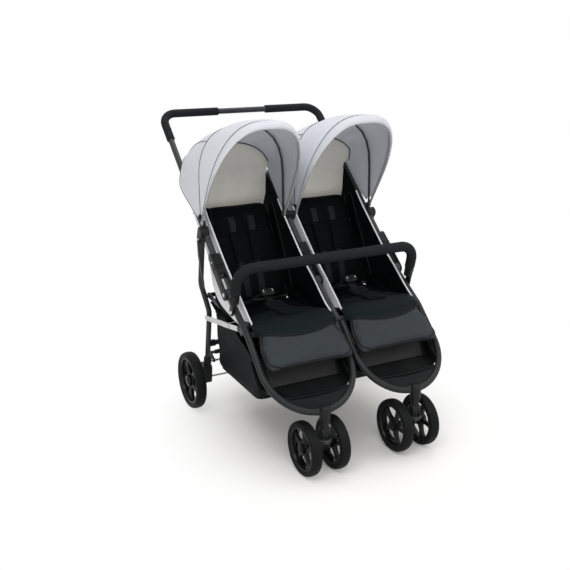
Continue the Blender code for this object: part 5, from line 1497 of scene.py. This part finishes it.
# The seat cover's apron runs on over the knee and is sewn across the leg rest in a shallow curve.
apron_trees = {}
for side, sign in SIDES:
    x = sign * SEAT_X
    seat_normal, seat_tree = pads["seat", side][2], pads["seat", side][4]
    leg_normal, leg_along, leg_tree = pads["leg", side][2:]
    rows, columns = 26, 36
    grid = []
    for j in range(columns + 1):
        u = 2 * j / columns - 1
        column = []
        hem = 0.020 + 0.034 * (1 - u * u)
        for i in range(rows + 1):
            t = i / rows
            px = x + (0.1490 - 0.0095 * max(0.0, t - 0.4) / 0.6) * u
            if t < 0.5:
                base = at(px, Vector((-0.150, 0.4292)).lerp(Vector((-0.2400, 0.4384)), t / 0.5))
                aim = seat_normal
            else:
                base = at(px, LEG_TOP) + leg_along * (0.006 + (hem - 0.006) * (t - 0.5) / 0.5)
                aim = leg_normal
            spot = None
            for tree in (seat_tree, leg_tree):
                hit = tree.ray_cast(base + aim * 0.06, -aim)
                if hit[0] is not None and (spot is None or hit[3] < spot[1]):
                    spot = (hit[0], hit[3])
            lift = 0.0125 + 0.0125 * math.sin(math.pi * t) * (1 - 0.35 * u * u)
            lift -= 0.0130 * max(0.0, (abs(u) - 0.86) / 0.14) ** 2
            if spot and abs(u) < 0.93:
                lift = max(lift, (spot[0] - base).dot(aim) + 0.0012)
            column.append(base + aim * max(lift, -1.0))
        for repeat in range(6):
            soft = list(column)
            for i in range(9, 18):
                soft[i] = (column[i - 1] + column[i] * 2 + column[i + 1]) / 4
                soft[i] = soft[i] + (seat_normal + leg_normal).normalized() * 0.0003
            column = soft
        grid.append(column)
    for column in grid:
        for i, p in enumerate(column):
            t = i / rows
            p += (seat_normal * (1 - t) + leg_normal * t) * (0.0016 * max(0.0, noise.noise(p * 22)) + 0.0004)
    apron = shape("knee_apron_" + side, [p for column in grid for p in column], grid_faces(columns, rows),
                  knee_cloth, 0, False)
    apron_trees[side] = BVHTree.FromObject(apron, bpy.context.evaluated_depsgraph_get())
    middle_face = apron.data.polygons[len(apron.data.polygons) // 2]
    if middle_face.normal.dot(seat_normal + leg_normal) < 0:
        apron.data.flip_normals()
    tall = length_of(grid[columns // 2])
    true_area = walled(apron, 0.0012, 1)
    welt = tube("knee_apron_welt_" + side, [column[rows] + leg_normal * 0.0012 for column in grid], 0.0015,
                piping, 8)
    row = stitches("knee_apron_stitches_" + side,
                   [column[rows - 2] + leg_normal * 0.0016 for column in grid[1:-1]])
    for piece in (apron, welt, row):
        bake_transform(piece)


# SIDE PANELS
# A cloth side closes each seat on both sides, hung from the frame tubes: black inside, light grey net
# outside, bound along its front edge in light grey tape.
front_edge = [(0.240, 0.840), (0.200, 0.808), (0.155, 0.766), (0.112, 0.722), (0.070, 0.684), (0.020, 0.640),
              (-0.030, 0.597), (-0.070, 0.566), (-0.115, 0.535), (-0.155, 0.504), (-0.195, 0.474),
              (-0.230, 0.450)]
rear_edges = {"inner": [(0.246, 0.815), (0.278, 0.806), (0.306, 0.776), (0.300, 0.730), (0.250, 0.665),
                        (0.195, 0.590), (0.154, 0.500), (0.126, 0.424), (0.040, 0.405), (-0.060, 0.400),
                        (-0.140, 0.414), (-0.210, 0.442)],
              "outer": [(0.246, 0.815), (0.276, 0.804), (0.280, 0.765), (0.245, 0.710), (0.185, 0.650),
                        (0.125, 0.590), (0.102, 0.538), (0.080, 0.484), (0.028, 0.447), (-0.050, 0.429),
                        (-0.128, 0.419), (-0.205, 0.438)]}
low_bow = {"inner": 0.0048, "outer": 0.0008}

for side, sign in SIDES:
    for edge_side, away in (("outer", sign), ("inner", -sign)):
        x = sign * SEAT_X + away * 0.1412
        rows, columns = 40, 10
        verts = []
        for i in range(rows + 1):
            t = i / rows
            for j in range(columns + 1):
                s = j / columns
                place = along_line(front_edge, t).lerp(along_line(rear_edges[edge_side], t), s)
                out = (0.0008 * math.sin(26 * t + 3 * s) - 0.0010) * math.sin(math.pi * s)
                out += low_bow[edge_side] * min(1.0, max(0.0, (0.470 - place.y) / 0.030))
                verts.append(at(x + away * out, place))
        own = edge_side + "_" + side
        panel = shape("side_panel_" + own, verts, grid_faces(rows, columns),
                      [net_cloth, seat_cloth, piping], 0, False)
        if panel.data.polygons[0].normal.x * away < 0:
            panel.data.flip_normals()
        tall = length_of(verts[columns // 2::columns + 1])
        true_area = walled(panel, 0.0014, -1, 1, 2)
        tape = tube("side_panel_tape_" + own, verts[8 * (columns + 1)::columns + 1], 0.0028, net_cloth, 8)
        for piece in (panel, tape):
            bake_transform(piece)


# HARNESS
# Five-point harness of black nylon webbing: two padded shoulder straps down each back, lap straps and a
# crotch strap with its pad on each seat, and a black buckle with two bright slots.
def ribbon(name, path, normals, width, thick, finish):
    """A flat strap along a path; normals point away from what it lies on."""
    verts = []
    last = len(path) - 1
    for k, (p, n) in enumerate(zip(path, normals)):
        run = (path[min(k + 1, last)] - path[max(k - 1, 0)]).normalized()
        across = run.cross(n).normalized() * (width / 2)
        up = n.normalized() * thick
        for side_share, level in ((-1, 0.0), (-0.94, 1.0), (-0.5, 1.12), (0.5, 1.12), (0.94, 1.0), (1, 0.0)):
            verts.append(p + across * side_share + up * level)
    return shape(name, verts, ring_faces(last, 6), finish, 50)


STRAP_WIDE, STRAP_THICK, PAD_THICK = 0.024, 0.0014, 0.0065
for side, sign in SIDES:
    x = sign * SEAT_X
    surface, normal, along, tree = pads["back", side][1:]
    straps = []
    for s in (-1, 1):
        path = []
        for t in [k / 16 for k in range(17)]:
            u, v = s * (0.30 - 0.10 * t), 0.72 - 1.62 * t
            hit = hugging(tree, surface(u, v, 1) + normal * 0.05, -normal, 0.0004)
            path.append(hit or surface(u, v, 1) + normal * 0.002)
        straps.append(ribbon("strap", path, [normal] * 17, STRAP_WIDE, STRAP_THICK, web_cloth))
        soft = [p + normal * 0.0016 for p in path[3:10]]
        straps.append(ribbon("pad", soft, [normal] * 7, 0.044, PAD_THICK, seat_cloth))
    settle(gather("shoulder_straps_" + side, straps), "back_" + side, [], "webbing")

    tree = pads["seat", side][4]
    parts = []
    for s in (-1, 1):
        path = []
        for t in [k / 12 for k in range(13)]:
            place = Vector((x + s * (0.118 - 0.090 * t), 0.006 - 0.056 * t ** 1.3, 0.55))
            hit = tree.ray_cast(place, Vector((0, 0, -1)))
            place.z = (hit[0].z if hit[0] else 0.44) + 0.0006 + 0.036 * max(0.0, t - 0.35) ** 1.2 / 0.6
            path.append(place)
        parts.append(ribbon("lap", path, [Vector((0, -0.25, 1))] * 13, STRAP_WIDE, STRAP_THICK, web_cloth))
    path = []
    for t in [k / 20 for k in range(21)]:
        py = -0.224 + 0.172 * t
        ground = 0.44
        for below in (tree, apron_trees[side]):
            hit = below.ray_cast(Vector((x, py, 0.60)), Vector((0, 0, -1)))
            if hit[0]:
                ground = max(ground, hit[0].z)
        path.append(Vector((x + 0.004 * math.sin(5 * t), py,
                            ground + 0.0012 + 0.034 * max(0.0, t - 0.55) ** 1.6 / 0.28)))
    parts.append(ribbon("crotch", path, [Vector((0, -0.5, 1))] * 21, 0.028, STRAP_THICK, web_cloth))
    parts.append(ribbon("crotch_pad", [p + Vector((0, -0.0006, 0.0014)) for p in path[:16]],
                        [Vector((0, -0.1, 1))] * 16, 0.070, PAD_THICK, knee_cloth))
    lean = Vector((0, -0.62, 0.78)).normalized()
    centre = Vector((x, -0.053, 0.4865))
    buckle_half = Vector((0.026, 0, 0))
    body_path = refined([centre - buckle_half, centre + buckle_half], 0.004)
    widths = [0.55 + 0.45 * max(0.0, 1 - abs((p.x - x) / 0.026) ** 3) ** 0.5 for p in body_path]
    block = tube("buckle", body_path, 0.0150, black_nylon, 24, widths, 60)
    for vertex in block.data.vertices:
        vertex.co -= lean * (vertex.co - centre).dot(lean) * 0.42
    parts += [block, turned("press", [(0.0, 0.0038), (0.0052, 0.0036), (0.0066, 0.0022), (0.0070, 0.0)],
                            centre + lean * 0.0078, lean, web_cloth, 24)]
    half_slot = Vector((0, 0.004, 0.005))
    for s in (-1, 1):
        spot = centre + lean * 0.0075 + Vector((s * 0.0165, 0, 0))
        parts.append(tube("slot", [spot + half_slot, spot - half_slot], 0.0011, bright_zinc, 8))
    settle(gather("harness_buckle_" + side, parts), "front_frame", "harness_" + side, "webbing")


# BASKET
# A black cloth basket slung under the seats: flat floor, sides rising to a bound edge that falls towards
# the front, hung from the rear cross tube by two webbing straps.
SPLIT = 0.322
FLOOR_Z = 0.168
AROUND = 112
plans = {}


def basket_plan(z):
    """The basket's round-cornered outline at a height."""
    z = round(z, 4)
    if z in plans:
        return plans[z]
    front = -0.196 - 0.025 * min(1.0, (z - FLOOR_Z) / 0.055) - 0.004 * max(0.0, z - 0.223) / (SPLIT - FLOOR_Z)
    rear = (0.116 + 0.014 * max(0.0, min(1.0, (z - FLOOR_Z) / 0.020)) ** 0.6
            + 0.012 * (z - FLOOR_Z) / (SPLIT - FLOOR_Z))
    half = 0.2815 - 0.010 * (1 - min(1.0, (z - FLOOR_Z) / 0.030)) ** 2
    radius = 0.022
    ring = []
    for cx, cy, turn_from in ((half - radius, front + radius, -90), (half - radius, rear - radius, 0),
                              (-half + radius, rear - radius, 90), (-half + radius, front + radius, 180)):
        for k in range(7):
            a = math.radians(turn_from + 90 * k / 6)
            ring.append(Vector((cx + radius * math.cos(a), cy + radius * math.sin(a), z)))
    path = refined(ring + ring[:1], 0.02)
    total, walked, k = length_of(path), 0.0, 0
    plans[z] = []
    for step in range(AROUND):
        target = total * step / AROUND
        while walked + (path[k + 1] - path[k]).length < target:
            walked += (path[k + 1] - path[k]).length
            k += 1
        share = (target - walked) / max(1e-9, (path[k + 1] - path[k]).length)
        plans[z].append(path[k].lerp(path[k + 1], share))
    return plans[z]


def rim_height(y):
    """Height of the basket's bound edge along its side."""
    if y > 0.07:
        return 0.378
    if y > -0.02:
        return 0.365 + 0.013 * (y + 0.02) / 0.09
    if y > -0.125:
        return 0.326 + 0.039 * (y + 0.125) / 0.105
    return 0.279 + 0.047 * (y + 0.225) / 0.100


def basket_point(k, z):
    """A point of the basket's side. The slack cloth bellies low down and pulls in between its straps."""
    point = basket_plan(z)[k].copy()
    point.z = z
    if z <= 0.17:
        return point
    belly = 0.0016 * math.sin((point.z - FLOOR_Z) * 26) + 0.0028 * noise.noise(point * 7 + Vector((3, 1, 0)))
    ripple = 0.0012 * math.sin(point.z * 60 + point.y * 45 + point.x * 20)
    inward = Vector((-point.x, -(point.y + 0.05), 0)).normalized()
    return point + inward * (0.0022 + belly + ripple)


def shell_of(name, rings, closed_floor):
    """A cloth wall through rings, with a floor in the first one if asked; returns it and its flat area."""
    count = len(rings[0])
    verts = [p for ring in rings for p in ring]
    faces = []
    for r in range(len(rings) - 1):
        for k in range(count):
            m = (k + 1) % count
            if max((rings[r + 1][k] - rings[r][k]).length, (rings[r + 1][m] - rings[r][m]).length) > 1e-5:
                faces.append((r * count + k, r * count + m, (r + 1) * count + m, (r + 1) * count + k))
    if closed_floor:
        middle = sum(rings[0], Vector()) / count
        last = list(range(count))
        for share in (0.75, 0.5, 0.25):
            new = list(range(len(verts), len(verts) + count))
            for p in rings[0]:
                q = middle.lerp(p, share)
                q.z += 0.0015 - 0.0015 * share + 0.0010 * noise.noise(q * 12)
                verts.append(q)
            for k in range(count):
                m = (k + 1) % count
                faces.append((last[m], last[k], new[k], new[m]))
            last = new
        verts.append(middle + Vector((0, 0, 0.0015)))
        faces += [(last[(k + 1) % count], last[k], len(verts) - 1) for k in range(count)]
    piece = shape(name, verts, faces, basket_cloth, 0, False)
    cleaned(piece.data, 1e-5)
    if max(piece.data.polygons, key=lambda face: face.center.x).normal.x < 0:
        piece.data.flip_normals()
    return piece, walled(piece, 0.0014, -1, sharp=50)


def run_of(points):
    """Neighbouring points put in the order in which they lie round the basket."""
    run = [next(k for k in points if (k - 1) % AROUND not in points)]
    while (run[-1] + 1) % AROUND in points:
        run.append((run[-1] + 1) % AROUND)
    return run


middle_y = [point.y for point in basket_plan(0.28)]
tray_rings = []
for level in range(16):
    ring = []
    for k, low in enumerate(basket_plan(0.1685)):
        top = min(SPLIT - 0.0004, rim_height(low.y if abs(low.x) < 0.27 else middle_y[k]))
        ring.append(basket_point(k, 0.1685 + (top - 0.1685) * (level / 15) ** 1.2))
    tray_rings.append(ring)
skirt_foot = SPLIT + 0.0006
skirt_tall = [max(0.0, rim_height(y) - skirt_foot) for y in middle_y]
skirt_rings = [[basket_point(k, skirt_foot + tall * level / 5) for k, tall in enumerate(skirt_tall)]
               for level in range(6)]
tray, tray_area = shell_of("basket_tray", tray_rings, True)
skirt, skirt_area = shell_of("basket_upper_edge", skirt_rings, False)
high = [k for k in range(AROUND) if skirt_rings[-1][k].z > SPLIT + 0.003]
rear_run, front_run = run_of(high), run_of([k for k in range(AROUND) if k not in high])
rear_binding = tube("basket_rear_binding", [skirt_rings[-1][k] for k in rear_run], 0.0024, piping, 8)
front_binding = tube("basket_front_binding", [tray_rings[-1][k] for k in front_run], 0.0024, piping, 8)
sling_parts = []
for side, sign in SIDES:
    x = sign * 0.200
    fall = [(0.1395, 0.300), (0.1395, 0.272), (0.148, 0.258), (LOW_CROSS.x - 0.0125, 0.2475)]
    sling_parts.append(ribbon("sling", [at(x, p) for p in fall], [Vector((0, 0.2, 1))] * 4, 0.020, 0.0022,
                              web_cloth))
    outward = [Vector((0, math.cos(a), math.sin(a))) for a in [2 * math.pi * k / 20 for k in range(21)]]
    loop = [at(x, LOW_CROSS) + way * 0.0112 for way in outward]
    sling_parts.append(ribbon("loop", loop, outward, 0.020, 0.0012, web_cloth))
slings = gather("basket_slings", sling_parts)
settle(tray, "rear_frame", "basket", "basket_cloth")
for piece in (front_binding, slings):
    settle(piece, "rear_frame", [], "basket_cloth")
for piece in (skirt, rear_binding):
    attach(piece, "rear_frame")
    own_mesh(piece)
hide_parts("basket_skirt")
